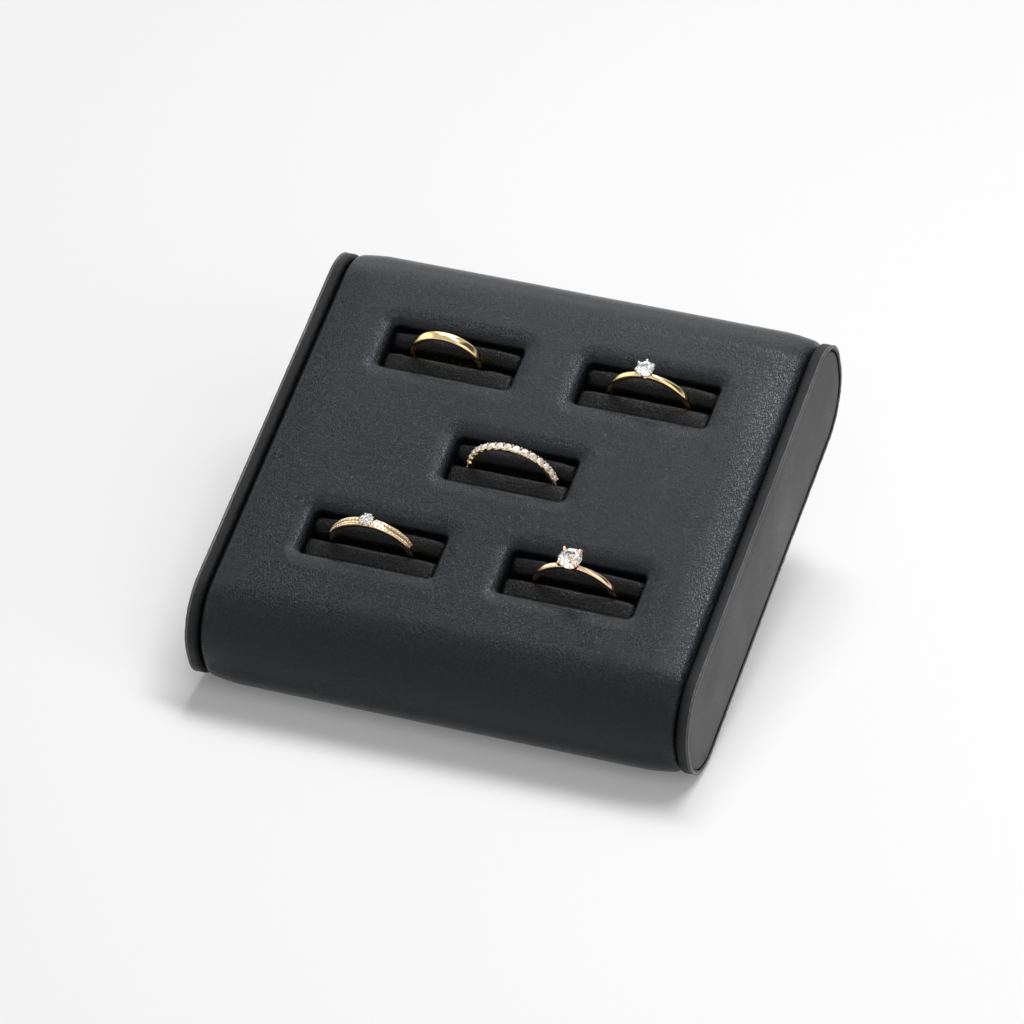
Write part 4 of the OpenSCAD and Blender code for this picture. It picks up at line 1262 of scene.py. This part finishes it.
middle, radius, width = ring_place("shoulder_shank")
shank = spun_band(radius, width, shoulder_thick, crown=0.45)
rail_start = shoulder_start - rail_overrun
rail_end = shoulder_start + shoulder_count * shoulder_step
for side in (-1, 1):
    for edge in (-1, 1):
        rail = bmesh.ops.create_circle(shank, segments=8, radius=rail_wire,
                                       matrix=round_ring(side * rail_start, radius - rail_sunk)
                                       @ Matrix.Translation((0, edge * rail_aside * width, 0))
                                       @ Matrix.Rotation(math.pi / 2, 4, "Y"))["verts"]
        bmesh.ops.spin(shank, geom=rail + edges_of(rail), cent=(0, 0, 0), axis=(0, 1, 0),
                       steps=rail_steps, angle=side * math.radians(rail_end - rail_start))
small_stones = bmesh.new()
for side in (-1, 1):
    for row in (-1, 1):
        aside = Vector((0, row * width / 4.4, 0))
        for k in range(shoulder_count):
            angle = side * (shoulder_start + (k + row / 4) * shoulder_step)
            spot = round_ring(angle, radius + shoulder_stone_up) @ Matrix.Translation(aside)
            brilliant(small_stones, shoulder_stone, spot, full=False)
            between = round_ring(angle + side * shoulder_step / 2, radius + shoulder_bead_up)
            ball(shank, between @ aside, shoulder_bead)
bmesh.ops.recalc_face_normals(shank, faces=shank.faces)
add_to_ring("shoulder_ring", middle, shank, "shoulder_hoop", pale_gold, "shoulder_shank")
add_to_ring("shoulder_ring", middle, small_stones, "shoulder_brilliants", diamond,
            "shoulder_stones", facet_crease)

head = bmesh.new()
flower = bmesh.new()
plate = 2.6 * cluster_stone
plate_top = radius + cluster_height
bmesh.ops.create_cone(head, cap_ends=True, segments=30, radius1=cluster_foot, radius2=plate,
                      depth=cluster_height, matrix=above(radius + cluster_height / 2))
brilliant(flower, heart_share * cluster_stone, above(plate_top + heart_up))
claw_path = [Vector(p) for p in (
    (plate - cluster_claw, 0, radius + 0.3 * mm),
    (plate + 0.5 * cluster_claw, 0, plate_top),
    (plate + 0.6 * cluster_claw, 0, plate_top + 0.3 * mm),
    (plate - 0.6 * cluster_claw, 0, plate_top + 0.55 * mm))]
for k in range(6):
    turn = Matrix.Rotation(math.radians(60 * k + 30), 4, "Z")
    spot = turn @ Matrix.Translation((2 * cluster_stone, 0, plate_top + petal_up))
    brilliant(flower, cluster_stone, spot)
    made = wire(head, claw_path, [cluster_claw] * 4) + ball(head, claw_path[-1], 1.25 * cluster_claw)
    made += ball(head, Vector((1.15 * cluster_stone, 0, plate_top + heart_bead_up)), heart_bead)
    bmesh.ops.transform(head, matrix=Matrix.Rotation(math.radians(60 * k), 4, "Z"), verts=made)
bmesh.ops.recalc_face_normals(head, faces=head.faces)
add_to_ring("shoulder_ring", middle, head, "shoulder_claws", white_gold, "shoulder_head")
add_to_ring("shoulder_ring", middle, flower, "shoulder_flower", diamond,
            "shoulder_centre", facet_crease)

# ---- Four-claw solitaire ----
# A rose gold shank whose shoulders come to a knife edge, and a head of four ball-tipped claws
# round the largest brilliant of the five.
claw_thick = 1.5 * mm
claw_ridge = 0.25 * mm
claw_stone = 2.8 * mm
claw_seat = 2.6 * mm
claw_wire = 0.38 * mm
claw_foot = 1.1 * mm

middle, radius, width = ring_place("claw_shank")
shank = spun_band(radius, width, claw_thick, crown=0.9)
narrow_to_top(shank, top_width=0.7, start=5, end=70, ridge=claw_ridge, radius=radius, thick=claw_thick)
add_to_ring("claw_ring", middle, shank, "claw_hoop", rose_gold, "claw_shank")
head = claw_head(radius, claw_stone, claw_seat, 4, claw_wire, claw_foot, math.pi / 4)
add_to_ring("claw_ring", middle, head, "ball_claws", rose_gold, "claw_head")
stone = bmesh.new()
brilliant(stone, claw_stone, above(radius + claw_seat))
add_to_ring("claw_ring", middle, stone, "claw_brilliant", diamond, "claw_stone", facet_crease)
